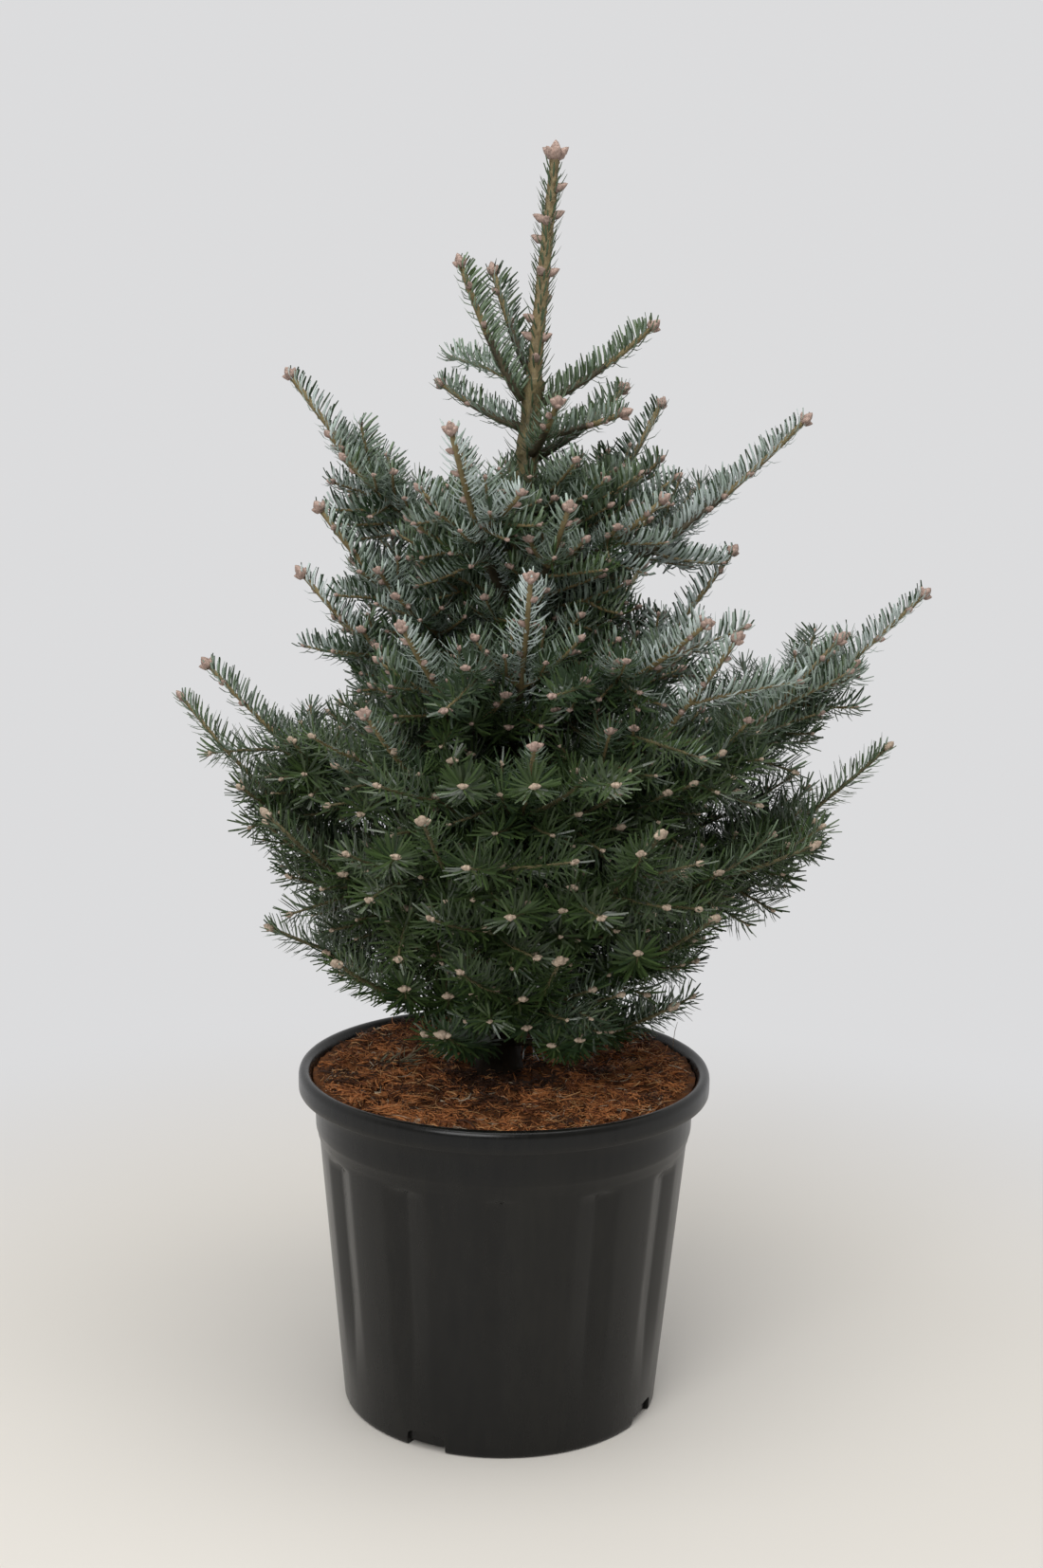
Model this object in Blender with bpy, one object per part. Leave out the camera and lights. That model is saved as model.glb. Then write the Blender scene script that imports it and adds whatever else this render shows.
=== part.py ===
"""A young Korean fir in a round nursery pot.

The pot is a thin shell with a filled soil plug. One tapering trunk runs from the soil to the
bud crown at the tip of its leader. Boughs and sprays of needles stand round it in layers.
Metres, +Z up, origin under the middle of the pot. Azimuth 0 faces -Y and 90 faces +X.
"""

import math
import random

import bmesh
import bpy
import numpy as np
from mathutils import Vector

SEED = 7
GAP = 0.0003  # between two solids that meet face to face
WELD = 0.00001  # corners nearer than this are one

# Pot
POT_HEIGHT = 0.2928
RIM_RADIUS = 0.1749
RIM_SKIRT = 0.0183  # height of the rim's outer skirt
BAND_RADIUS = 0.1610
BAND_FOOT = 0.2420  # height at which the band steps in to the body
BODY_RADIUS = 0.1570
BODY_TOP = 0.2330
BASE_RADIUS = 0.1349
WALL = 0.0030
FLOOR = 0.0040
POT_SIDES = 48
FLUTES = 12
FLUTE_DEPTH = 0.0024
FLUTE_TOP = 0.228
FLUTE_FOOT = 0.030
NOTCHES = (-26, 64, 154, 244)  # azimuths of the drain notches in the base's edge
NOTCH_HALF_ANGLE = 7.5
NOTCH_HEIGHT = 0.0140
NOTCH_REACH = 0.027  # how far a notch goes in under the pot

# Soil
SOIL_REACH = 0.1600  # inside radius of the pot at the soil's edge
SOIL_EDGE = 0.2790
SOIL_TOP = 0.2860
SOIL_FLAT = 0.034  # radius of the level spot that the trunk stands on
SOIL_SIDES = 24

# Trunk and leader
LEADER_FOOT = 0.866
LEADER_TOP = 1.0440
LEAN_START = -0.005  # the trunk's offset along X at the soil
LEAN = 0.034  # how much further over the tip is
TRUNK_FOOT_RADIUS = 0.0165
TRUNK_TOP_RADIUS = 0.0078
LEADER_FOOT_RADIUS = 0.0062
LEADER_TOP_RADIUS = 0.0042
FLARE = 0.0060
FLARE_HEIGHT = 0.022
TRUNK_SIDES = 10
TOP_BUD = (0.0125, 0.0050)  # length, radius
CROWN_BUD = (0.0140, 0.0044)
SIDE_BUD = (0.0118, 0.0038)
CROWN_BUDS = 6
LEADER_BUDS = (  # height, azimuth
    (1.016, 80), (1.005, 175), (0.995, 100), (0.992, 262), (0.990, 350), (0.976, 255),
    (0.962, 190), (0.951, 340), (0.950, 85), (0.930, 140), (0.914, 280), (0.904, 205),
    (0.900, 265), (0.899, 62), (0.883, 0),
)
LEADER_NEEDLES = 20
LEADER_NEEDLE = (0.0140, 0.0011)

# Layers of limbs from the top down. A limb is (azimuth, reach from the trunk, height of its tip).
# "foot" is the height at which the layer leaves the trunk, and "sag" is how level it starts,
# from 0, straight, to 1, level halfway out. "boughs" numbers the limbs that start as a bare bough.
LAYERS = {
    "crown": dict(foot=0.862, sag=0.35, boughs=(), limbs=(
        (291, 0.048, 0.957), (205, 0.046, 0.954), (92, 0.110, 0.911))),
    "collar": dict(foot=0.816, sag=0.40, boughs=(), limbs=(
        (22, 0.089, 0.850), (74, 0.090, 0.842), (126, 0.111, 0.861), (235, 0.075, 0.863))),
    "upper": dict(foot=0.694, sag=0.50, boughs=(0, 4), limbs=(
        (97, 0.240, 0.838), (20, 0.126, 0.772), (62, 0.134, 0.776), (128, 0.157, 0.849),
        (263, 0.185, 0.868), (196, 0.170, 0.806), (343, 0.158, 0.829))),
    "between": dict(foot=0.642, sag=0.60, boughs=(), limbs=(
        (286, 0.160, 0.764), (234, 0.170, 0.764), (162, 0.160, 0.752))),
    "middle": dict(foot=0.578, sag=0.60, boughs=(3,), limbs=(
        (5, 0.171, 0.722), (98, 0.184, 0.730), (44, 0.212, 0.688), (146, 0.205, 0.706),
        (205, 0.205, 0.698), (286, 0.174, 0.712), (335, 0.190, 0.684))),
    "broad": dict(foot=0.500, sag=0.80, boughs=(0, 5, 6), limbs=(
        (93, 0.342, 0.698), (73, 0.270, 0.670), (50, 0.224, 0.676), (5, 0.225, 0.604),
        (330, 0.214, 0.620), (281, 0.248, 0.638), (145, 0.262, 0.626), (212, 0.258, 0.620))),
    "low": dict(foot=0.425, sag=0.90, boughs=(0,), limbs=(
        (90, 0.314, 0.572), (66, 0.264, 0.510), (28, 0.242, 0.538), (345, 0.236, 0.548),
        (302, 0.222, 0.530), (270, 0.272, 0.604), (132, 0.256, 0.530), (198, 0.252, 0.515))),
    "skirt": dict(foot=0.362, sag=0.90, boughs=(), limbs=(
        (12, 0.200, 0.436), (50, 0.212, 0.456), (98, 0.204, 0.440), (160, 0.194, 0.422),
        (225, 0.198, 0.424), (274, 0.198, 0.412), (320, 0.202, 0.420))),
    "foot": dict(foot=0.328, sag=0.70, boughs=(), limbs=(
        (342, 0.154, 0.362), (58, 0.160, 0.370), (190, 0.140, 0.362))),
}
UNBRANCHED_LAYERS = ("crown", "collar")  # whose limbs are last year's growth, without side twigs
SILVERY_LAYERS = ("crown", "collar", "upper", "between", "middle")
LIMB_STAGGER = 0.010  # how far above or below the layer's foot a limb leaves the trunk
BOUGH_SHARE = 0.34  # of its limb, before the needles begin
BOUGH_SIDES = 6
LIMB_RADIUS = 0.0052  # of a limb 0.3 m long where it leaves the trunk
TWIG_RADIUS = 0.0021
CORE_RADIUS = 0.0055  # of a twig with the dense lower parts of its needles
TIP_LENGTH = 0.009

# Needles and side twigs
NEEDLE = 0.0240
NEEDLE_LEAN = math.radians(60)  # between a needle and its twig
RING_STEP = 0.0250  # length of twig that one ring of needles takes
RING_TWIST = math.radians(35)  # turn of each ring on the one before
OTHER_TURN = math.radians(90)  # start of the rings of the masses that would seal a hollow without it
OTHER_TURNED = ("middle_2", "middle_4", "skirt_6")
TERMINAL_SHARE = 0.42  # of a limb that is its last year's growth, still without side twigs
TERMINAL_MOST = 0.120
TWIG_STEP = 0.045  # between pairs of side twigs
TWIG_FIRST = 0.040  # of limb before its first pair
TWIG_ANGLE = math.radians(48)
TWIG_SHARE = 0.70  # of the limb still ahead of it that a side twig is long
TWIG_MOST = 0.130
TWIG_LEAST = 0.036
TWIG_LIFT = (0.05, 0.55)
TWIG_ROOM = 0.018  # least distance of a side twig from the twigs of other masses
AXIS_STEP = 0.007  # between the points that stand for a stem or twig
OWN_SPACE = 0.0045  # how much nearer its own stem than any other a point must be
TWIG_SPACE = 0.0025  # the same, between twigs of one mass
LIMB_CLEARANCE = 0.0016

# Colour and roughness of each material
BARK = ((0.235, 0.165, 0.095), 0.85)
GREEN = ((0.060, 0.120, 0.075), 0.55)
BLUE_GREEN = ((0.130, 0.200, 0.175), 0.55)
POT_BLACK = ((0.018, 0.018, 0.019), 0.42)
SOIL_BROWN = ((0.150, 0.055, 0.022), 0.95)


def clear_scene():
    for old in list(bpy.data.objects):
        bpy.data.objects.remove(old, do_unlink=True)


def make_material(name, finish):
    colour, roughness = finish
    material = bpy.data.materials.new(name)
    material.use_nodes = True
    shader = material.node_tree.nodes["Principled BSDF"]
    shader.inputs["Base Color"].default_value = (*colour, 1)
    shader.inputs["Roughness"].default_value = roughness
    shader.inputs["Metallic"].default_value = 0.0
    return material


def mesh_object(name, bm):
    bmesh.ops.recalc_face_normals(bm, faces=bm.faces)
    mesh = bpy.data.meshes.new(name)
    bm.to_mesh(mesh)
    bm.free()
    obj = bpy.data.objects.new(name, mesh)
    bpy.context.scene.collection.objects.link(obj)
    return obj


def outward(azimuth):
    """Level unit vector that way from the trunk."""
    a = math.radians(azimuth)
    return Vector((math.sin(a), -math.cos(a), 0))


def trunk_centre(z):
    """The trunk leans over more and more towards its tip."""
    t = (z - SOIL_TOP) / (LEADER_TOP - SOIL_TOP)
    return Vector((LEAN_START + LEAN * t * t, 0, z))


def trunk_radius(z):
    """Even taper to the leader's foot, a slimmer leader, and a flare where it meets the soil."""
    if z >= LEADER_FOOT:
        t = (z - LEADER_FOOT) / (LEADER_TOP - LEADER_FOOT)
        return LEADER_FOOT_RADIUS + (LEADER_TOP_RADIUS - LEADER_FOOT_RADIUS) * t
    t = (z - SOIL_TOP) / (LEADER_FOOT - SOIL_TOP)
    taper = TRUNK_FOOT_RADIUS + (TRUNK_TOP_RADIUS - TRUNK_FOOT_RADIUS) * t
    return taper + FLARE * math.exp(-(z - SOIL_TOP) / FLARE_HEIGHT)


def curve_point(path, t):
    """Point on the quadratic curve through path's two ends, drawn towards its middle point."""
    start, middle, end = path
    return start * (1 - t) ** 2 + middle * 2 * t * (1 - t) + end * t**2


def curve_way(path, t):
    start, middle, end = path
    return ((middle - start) * (1 - t) + (end - middle) * t).normalized()


def curve_length(path, steps=12):
    points = [curve_point(path, i / steps) for i in range(steps + 1)]
    return sum((b - a).length for a, b in zip(points, points[1:]))


def sub_curve(path, a, b):
    """The stretch of the curve from a to b, as a curve of its own."""
    start, end = curve_point(path, a), curve_point(path, b)
    middle = path[0] * (1 - a) * (1 - b) + path[1] * (a + b - 2 * a * b) + path[2] * a * b
    return start, middle, end


def ring(centre, way, radius, sides, turn=0.0):
    """Points round centre, square to way, with the first one on the upper side."""
    side = way.cross(Vector((0, 0, 1)))
    side = side.normalized() if side.length > 1e-4 else Vector((1, 0, 0))
    up = side.cross(way).normalized()
    return [
        centre + (up * math.cos(a) + side * math.sin(a)) * radius
        for a in (turn + 2 * math.pi * k / sides for k in range(sides))
    ]


def lofted(name, rings, tip=None):
    """Closed solid through rings of equal count, with flat ends or with a point at the far one."""
    bm = bmesh.new()
    rows = [[bm.verts.new(p) for p in points] for points in rings]
    count = len(rows[0])
    for low, high in zip(rows, rows[1:]):
        for k in range(count):
            bm.faces.new((low[k], low[(k + 1) % count], high[(k + 1) % count], high[k]))
    bm.faces.new(rows[0][::-1])
    if tip is None:
        bm.faces.new(rows[-1])
    else:
        point = bm.verts.new(tip)
        for k in range(count):
            bm.faces.new((rows[-1][k], rows[-1][(k + 1) % count], point))
    return mesh_object(name, bm)


def largest_shell(mesh):
    """Keeps the largest of the mesh's closed shells: a hollow is filled and loose scrap goes."""
    bm = bmesh.new()
    bm.from_mesh(mesh)
    bmesh.ops.remove_doubles(bm, verts=bm.verts, dist=WELD)
    bmesh.ops.dissolve_degenerate(bm, edges=bm.edges, dist=WELD)
    left = set(bm.faces)
    shells = []
    while left:
        shell, queue = [], [left.pop()]
        while queue:
            face = queue.pop()
            shell.append(face)
            for edge in face.edges:
                for other in edge.link_faces if edge.is_manifold else ():
                    if other in left:
                        left.remove(other)
                        queue.append(other)
        shells.append(shell)
    shells.sort(key=len)
    loose = [face for shell in shells[:-1] for face in shell]
    bmesh.ops.delete(bm, geom=loose, context="FACES")
    bm.to_mesh(mesh)
    bm.free()


def union(name, parts, material):
    """The parts as one solid, by a Boolean on their collection."""
    first, others = parts[0], parts[1:]
    if others:
        holder = bpy.data.collections.new(name + "_parts")
        bpy.context.scene.collection.children.link(holder)
        for part in others:
            bpy.context.scene.collection.objects.unlink(part)
            holder.objects.link(part)
        join = first.modifiers.new("join", "BOOLEAN")
        join.operation = "UNION"
        join.operand_type = "COLLECTION"
        join.collection = holder
        join.solver = "MANIFOLD"
        graph = bpy.context.evaluated_depsgraph_get()
        joined = bpy.data.meshes.new_from_object(first.evaluated_get(graph))
        largest_shell(joined)
        first.modifiers.clear()
        first.data = joined
        for part in others:
            bpy.data.objects.remove(part, do_unlink=True)
        bpy.data.collections.remove(holder)
    first.name = name
    first.data.materials.clear()
    first.data.materials.append(material)
    return first


def turned(name, outline, sides, shape=None):
    """Solid turned from an outline of (radius, height), with a flat disc at each of its ends.

    shape, where given, changes the radius and height of one point of one of the sides.
    """
    bm = bmesh.new()
    columns = []
    for k in range(sides):
        points = [shape(radius, z, k) if shape else (radius, z) for radius, z in outline]
        way = outward(360 * k / sides)
        columns.append([bm.verts.new(way * radius + Vector((0, 0, z))) for radius, z in points])
    for here, there in zip(columns, columns[1:] + columns[:1]):
        for i in range(len(outline) - 1):
            bm.faces.new((here[i], there[i], there[i + 1], here[i + 1]))
    for end in (0, -1):
        bm.faces.new([column[end] for column in columns])
    return mesh_object(name, bm)


def body_radius(z):
    """Outer radius of the pot's tapering body."""
    return BASE_RADIUS + (BODY_RADIUS - BASE_RADIUS) * z / BODY_TOP


def notch_blocks(name, grow, outset, low):
    """A block over each drain notch, larger by grow, that ends at the pot's taper plus outset."""
    half_angle = NOTCH_HALF_ANGLE + math.degrees(grow / BASE_RADIUS)
    blocks = []
    for i, azimuth in enumerate(NOTCHES):
        ways = [outward(azimuth + half_angle * k) for k in (-1, 0, 1)]
        rings = []
        for z in (low, NOTCH_HEIGHT + grow):
            near = [way * (BASE_RADIUS - NOTCH_REACH - grow) for way in ways]
            far = [way * (body_radius(z) + outset) for way in reversed(ways)]
            rings.append([point + Vector((0, 0, z)) for point in near + far])
        blocks.append(lofted(f"{name}_{i}", rings))
    return blocks


def cut(obj, cutters):
    """Takes the cutters out of obj and removes them."""
    for cutter in cutters:
        taking = obj.modifiers.new("cut", "BOOLEAN")
        taking.operation = "DIFFERENCE"
        taking.object = cutter
        taking.solver = "EXACT"
    graph = bpy.context.evaluated_depsgraph_get()
    obj.data = bpy.data.meshes.new_from_object(obj.evaluated_get(graph))
    obj.modifiers.clear()
    for cutter in cutters:
        bpy.data.objects.remove(cutter, do_unlink=True)


def finish(obj, material):
    """Gives a smooth solid its material, with sharp edges kept sharp."""
    obj.data.materials.clear()
    obj.data.materials.append(material)
    obj.data.shade_smooth()
    obj.data.set_sharp_from_angle(angle=math.radians(35))
    return obj


def make_pot(material):
    """Thin shell: a rolled rim with a skirt, a plain band, and a fluted body on a flat base."""
    rim_foot = POT_HEIGHT - RIM_SKIRT
    outside = [
        (BASE_RADIUS - 0.0015, 0), (body_radius(0.0040), 0.0040),
        (body_radius(FLUTE_FOOT), FLUTE_FOOT), (body_radius(0.070), 0.070),
        (body_radius(0.215), 0.215), (body_radius(FLUTE_TOP), FLUTE_TOP),
        (BODY_RADIUS, BODY_TOP), (BAND_RADIUS - 0.0010, BAND_FOOT),
        (BAND_RADIUS, rim_foot - 0.0008), (RIM_RADIUS - 0.0004, rim_foot),
        (RIM_RADIUS, POT_HEIGHT - 0.0058), (RIM_RADIUS - 0.0008, POT_HEIGHT - 0.0022),
        (0.1700, POT_HEIGHT), (0.1655, POT_HEIGHT - 0.0030),
    ]
    inside = [
        (SOIL_REACH, SOIL_EDGE + 0.001), (BAND_RADIUS - WALL, BAND_FOOT + 0.004),
        (BODY_RADIUS - WALL - FLUTE_DEPTH, FLUTE_TOP), (BASE_RADIUS - WALL, FLOOR),
    ]

    def fluted(radius, z, k):
        on_flute = k % (POT_SIDES // FLUTES) == 0 and FLUTE_FOOT < z < FLUTE_TOP
        return (radius - FLUTE_DEPTH if on_flute else radius), z

    pot = turned("pot", outside + inside, POT_SIDES, fluted)
    union("pot", [pot, *notch_blocks("pocket", WALL, -WALL / 2, FLOOR / 2)], material)
    cut(pot, notch_blocks("notch", 0.0, 0.01, -0.01))
    return finish(pot, material)


def make_soil(material):
    """The plug of soil fills the pot, mounds a little, and is level where the trunk stands."""
    draw = random.Random(SEED)
    room = GAP * 2
    outline = [
        (BASE_RADIUS - WALL - room, FLOOR + GAP),
        (BODY_RADIUS - WALL - FLUTE_DEPTH - room, FLUTE_TOP),
        (BAND_RADIUS - WALL - room * 2, BAND_FOOT + 0.004),
        (SOIL_REACH - room * 4, SOIL_EDGE),
    ]
    for share, rise in ((0.80, 0.35), (0.55, 0.70), (0.35, 0.92)):
        outline.append((SOIL_REACH * share, SOIL_EDGE + (SOIL_TOP - SOIL_EDGE) * rise))
    outline.append((SOIL_FLAT, SOIL_TOP))

    def uneven(radius, z, k):
        if SOIL_EDGE < z < SOIL_TOP:
            return radius * draw.uniform(0.97, 1.03), z + draw.uniform(-0.0016, 0.0008)
        return radius, z

    soil = turned("soil", outline, SOIL_SIDES, uneven)
    cut(soil, notch_blocks("soil_pocket", WALL + room, 0.01, -0.01))
    return finish(soil, material)


def bud(name, foot, way, length, radius):
    """Blunt, resinous bud: widest at its middle, with a point."""
    shares = ((-0.15, 0.60), (0.50, 1.0))
    rings = [ring(foot + way * length * t, way, radius * r, 5) for t, r in shares]
    return lofted(name, rings, tip=foot + way * length)


def spike(name, foot, way, length, radius):
    """One flat-sided needle with its foot sunk in the twig."""
    return lofted(name, [ring(foot, way, radius, 3)], tip=foot + way * length)


def make_trunk(material):
    """Tapering trunk and leader, with the leader's buds and some of its needles fused on."""
    draw = random.Random(SEED + 1)
    above_flare = SOIL_TOP + 0.030
    below_leader = LEADER_FOOT - 0.008
    heights = [SOIL_TOP + GAP, SOIL_TOP + 0.010, above_flare]
    heights += [above_flare + (below_leader - above_flare) * i / 9 for i in range(1, 10)]
    heights += [LEADER_FOOT, (LEADER_FOOT + LEADER_TOP) / 2, LEADER_TOP]
    rings = []
    for z in heights:
        centre = trunk_centre(z)
        radius = trunk_radius(z)
        rings.append([centre + outward(360 * k / TRUNK_SIDES) * radius for k in range(TRUNK_SIDES)])
    parts = [lofted("trunk", rings)]
    top = trunk_centre(LEADER_TOP) - Vector((0, 0, 0.004))
    parts.append(bud("top_bud", top + Vector((0, 0, 0.002)), Vector((0, 0, 1)), *TOP_BUD))
    for k in range(CROWN_BUDS):
        way = (outward(360 * k / CROWN_BUDS + 15) * 0.78 + Vector((0, 0, 0.62))).normalized()
        parts.append(bud(f"crown_bud_{k}", top, way, *CROWN_BUD))
    for i, (z, azimuth) in enumerate(LEADER_BUDS):
        way = (outward(azimuth) + Vector((0, 0, 0.45))).normalized()
        foot = trunk_centre(z) + outward(azimuth) * trunk_radius(z) * 0.5
        parts.append(bud(f"leader_bud_{i}", foot, way, *SIDE_BUD))
    length, radius = LEADER_NEEDLE
    for i in range(LEADER_NEEDLES):
        azimuth = 137.5 * i
        z = LEADER_FOOT + 0.010 + (LEADER_TOP - LEADER_FOOT - 0.030) * i / LEADER_NEEDLES
        way = (outward(azimuth) * 0.62 + Vector((0, 0, 1))).normalized()
        foot = trunk_centre(z) + outward(azimuth) * (trunk_radius(z) - 0.0016)
        name = f"leader_needle_{i}"
        parts.append(spike(name, foot, way, length * draw.uniform(0.8, 1.15), radius))
    return finish(union("trunk", parts, material), material)


def limb_path(layer, azimuth, reach, tip_height, lift_foot):
    """Curve of a limb from the trunk's surface: level at first by the layer's sag, then rising."""
    foot_height = layer["foot"] + lift_foot
    foot = trunk_centre(foot_height)
    foot += outward(azimuth) * (trunk_radius(foot_height) + GAP * 2)
    tip = Vector((0, 0, tip_height)) + outward(azimuth) * reach
    middle = (foot + tip) / 2
    middle.z -= (tip.z - foot.z) / 2 * layer["sag"]
    return foot, middle, tip


def limb_radius(length, t):
    """A limb tapers evenly from its foot to a twig."""
    foot = TWIG_RADIUS + (LIMB_RADIUS - TWIG_RADIUS) * min(1.0, length / 0.30)
    return foot + (TWIG_RADIUS - foot) * min(1.0, t / 0.75)


def plan_limbs():
    """Every limb's name, number, path and bare share, from the layers.

    Neighbours in a layer leave the trunk at different heights, so that their feet stay apart.
    """
    draw = random.Random(SEED + 2)
    plans = []
    for layer_name, layer in LAYERS.items():
        order = sorted(layer["limbs"])
        for i, limb in enumerate(layer["limbs"]):
            step = LIMB_STAGGER * (1 if order.index(limb) % 2 else -1)
            path = limb_path(layer, *limb, step + draw.uniform(-0.004, 0.004))
            plans.append(dict(
                name=f"{layer_name}_{i + 1}", number=len(plans), path=path, twigs=[],
                length=curve_length(path), bare=BOUGH_SHARE if i in layer["boughs"] else 0.0,
            ))
    return plans


def make_bough(plan, material):
    """Bare foot of a limb, with its first end upright against the trunk."""
    path, bare = plan["path"], plan["bare"]
    steps = 4
    rings = []
    for k in range(steps + 1):
        t = bare * k / steps
        way = curve_way(path, t)
        if k == 0:
            way = Vector((way.x, way.y, 0)).normalized()
        rings.append(ring(curve_point(path, t), way, limb_radius(plan["length"], t), BOUGH_SIDES))
    return finish(lofted(plan["name"] + "_bough", rings), material)


class Space:
    """Points along every stem and twig so far, with the twig and the mass each belongs to."""

    def __init__(self, plans):
        self.points = np.zeros((0, 3))
        self.twigs = np.zeros(0, dtype=int)
        self.masses = np.zeros(0, dtype=int)
        wood = []
        for plan in plans:
            plan["stem"] = self.add(plan["number"], plan["path"])
            for k in range(13 if plan["bare"] else 0):
                t = (plan["bare"] + 0.01) * k / 12
                wood.append((*curve_point(plan["path"], t), limb_radius(plan["length"], t)))
        self.wood = np.array(wood)

    def add(self, mass, path):
        """Takes in a stem or twig and returns its number."""
        steps = max(4, round(curve_length(path) / AXIS_STEP))
        points = np.array([curve_point(path, k / steps) for k in range(steps + 1)])
        twig = self.twigs.max(initial=-1) + 1
        self.points = np.vstack((self.points, points))
        self.twigs = np.append(self.twigs, np.full(len(points), twig))
        self.masses = np.append(self.masses, np.full(len(points), mass))
        return twig

    def in_wood(self, point, more=0.0):
        """Whether a point is too near the trunk, a bare bough, the rim or the soil."""
        z = min(max(point.z, SOIL_TOP), LEADER_TOP)
        if (point - trunk_centre(z)).length < trunk_radius(z) + LIMB_CLEARANCE + more:
            return True
        if point.z < POT_HEIGHT + 0.010 and math.hypot(point.x, point.y) < RIM_RADIUS + 0.02:
            return True
        away = np.linalg.norm(self.wood[:, :3] - np.array(point), axis=1) - self.wood[:, 3]
        return away.min() < LIMB_CLEARANCE + more

    def free(self, mass, twig, point):
        """Whether a needle's point is in its mass's own space, and nearest its own twig there."""
        away = np.linalg.norm(self.points - np.array(point), axis=1)
        own = away[self.twigs == twig].min()
        if away[self.masses != mass].min() - own < OWN_SPACE:
            return False
        beside = away[(self.masses == mass) & (self.twigs != twig)]
        return beside.min(initial=1.0) - own > TWIG_SPACE and not self.in_wood(point)

    def fits(self, mass, path):
        """Whether a side twig keeps clear of other masses' twigs all along its outer part."""
        others = self.points[self.masses != mass]
        for t in (0.35, 0.55, 0.75, 1.0):
            point = curve_point(path, t)
            away = np.linalg.norm(others - np.array(point), axis=1).min()
            if away < TWIG_ROOM or self.in_wood(point, TWIG_RADIUS):
                return False
        return True


def core_rings(plan, path, count, radius, first_upright):
    """The twig's three-sided rings: its own radius at the foot, then the needles' dense core."""
    turn = math.pi + (OTHER_TURN if plan["name"] in OTHER_TURNED else 0)
    rings = []
    for k in range(count + 1):
        way = curve_way(path, k / count)
        if k == 0 and first_upright:
            way = Vector((way.x, way.y, 0)).normalized()
        girth = radius if k == 0 else CORE_RADIUS
        rings.append(ring(curve_point(path, k / count), way, girth, 3, turn + RING_TWIST * k))
    return rings


def spray(name, plan, twig, path, space, root=0.0, first_upright=False, radius=TWIG_RADIUS):
    """A three-sided twig along path whose sides are drawn out into needles, ring by ring.

    Each side of each ring is pulled to a point ahead of it, so the twig and its needles are one
    closed skin. A needle that would leave the mass's own space is left flat on the twig.
    """
    length = curve_length(path)
    count = max(2, round(length / RING_STEP))
    bm = bmesh.new()
    rings = core_rings(plan, path, count, radius, first_upright)
    rows = [[bm.verts.new(point) for point in points] for points in rings]
    for k, (low, high) in enumerate(zip(rows, rows[1:])):
        t = (k + 0.7) / count
        way = curve_way(path, t)
        needle = NEEDLE * (0.72 if t < 0.15 else 1.0) * (0.80 if k == count - 1 else 1.0)
        for side in range(3):
            j = (side + 1) % 3
            quad = (low[side], low[j], high[j], high[side])
            middle = sum((v.co for v in quad), Vector()) / 4
            out = middle - curve_point(path, (k + 0.5) / count)
            out = (out - way * out.dot(way)).normalized()
            lean = way * math.cos(NEEDLE_LEAN) + out * math.sin(NEEDLE_LEAN) + Vector((0, 0, 0.12))
            tip = curve_point(path, t) + out * radius * 0.5
            tip += lean.normalized() * needle * (0.82 + 0.18 * out.z)
            grows = t * length > root and out.z > -0.55 and space.free(plan["number"], twig, tip)
            grows = grows and space.free(plan["number"], twig, (tip + middle) / 2)
            if grows:
                point = bm.verts.new(tip)
                for a, b in zip(quad, quad[1:] + quad[:1]):
                    bm.faces.new((a, b, point))
            else:
                bm.faces.new(quad)
    bm.faces.new(rows[0][::-1])
    end = bm.verts.new(curve_point(path, 1) + curve_way(path, 1) * TIP_LENGTH)
    for side in range(3):
        bm.faces.new((rows[-1][side], rows[-1][(side + 1) % 3], end))
    return mesh_object(name, bm)


def side_twig(path, t, hand, size, draw):
    """Path of a twig that leaves path at t, bends back towards its way and lifts its tip."""
    way = curve_way(path, t)
    side = way.cross(Vector((0, 0, 1))).normalized() * hand
    turn = TWIG_ANGLE * draw.uniform(0.88, 1.14)
    foot = curve_point(path, max(0.0, t - draw.uniform(0.0, 0.03)))
    start = way * math.cos(turn) + side * math.sin(turn)
    ahead = (start + way * 0.35 + Vector((0, 0, draw.uniform(*TWIG_LIFT)))).normalized()
    middle = foot + start * size / 2
    return foot, middle, middle + ahead * size / 2


def plan_twigs(plans, space):
    """Pairs of side twigs on every limb, the outermost first, kept where they have room."""
    draw = random.Random(SEED + 3)
    for pair in range(6):
        for plan in plans:
            branched = not plan["name"].startswith(UNBRANCHED_LAYERS)
            length = plan["length"]
            at = length - min(TERMINAL_SHARE * length, TERMINAL_MOST)
            at -= TWIG_STEP * pair * draw.uniform(0.92, 1.08)
            if at < max(TWIG_FIRST, plan["bare"] * length + 0.010):
                continue
            for hand in (-1, 1):
                size = min(TWIG_SHARE * (length - at), TWIG_MOST) * draw.uniform(0.84, 1.10)
                twig = side_twig(plan["path"], at / length, hand, size, draw)
                if branched and size > TWIG_LEAST and space.fits(plan["number"], twig):
                    plan["twigs"].append((space.add(plan["number"], twig), twig))


def make_mass(plan, space, material):
    """One mass: the limb's own leafy stem with its side twigs fused in."""
    bare, length = plan["bare"], plan["length"]
    start = bare + GAP / length if bare else 0.0
    stem = sub_curve(plan["path"], start, 1.0)
    root = 0.0 if bare else 0.012
    girth = limb_radius(length, bare)
    parts = [spray("stem", plan, plan["stem"], stem, space, root, not bare, girth)]
    for twig, twig_path in plan["twigs"]:
        parts.append(spray(f"twig_{twig}", plan, twig, twig_path, space, root=0.010))
    return union(plan["name"] + "_spray", parts, material)


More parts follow.
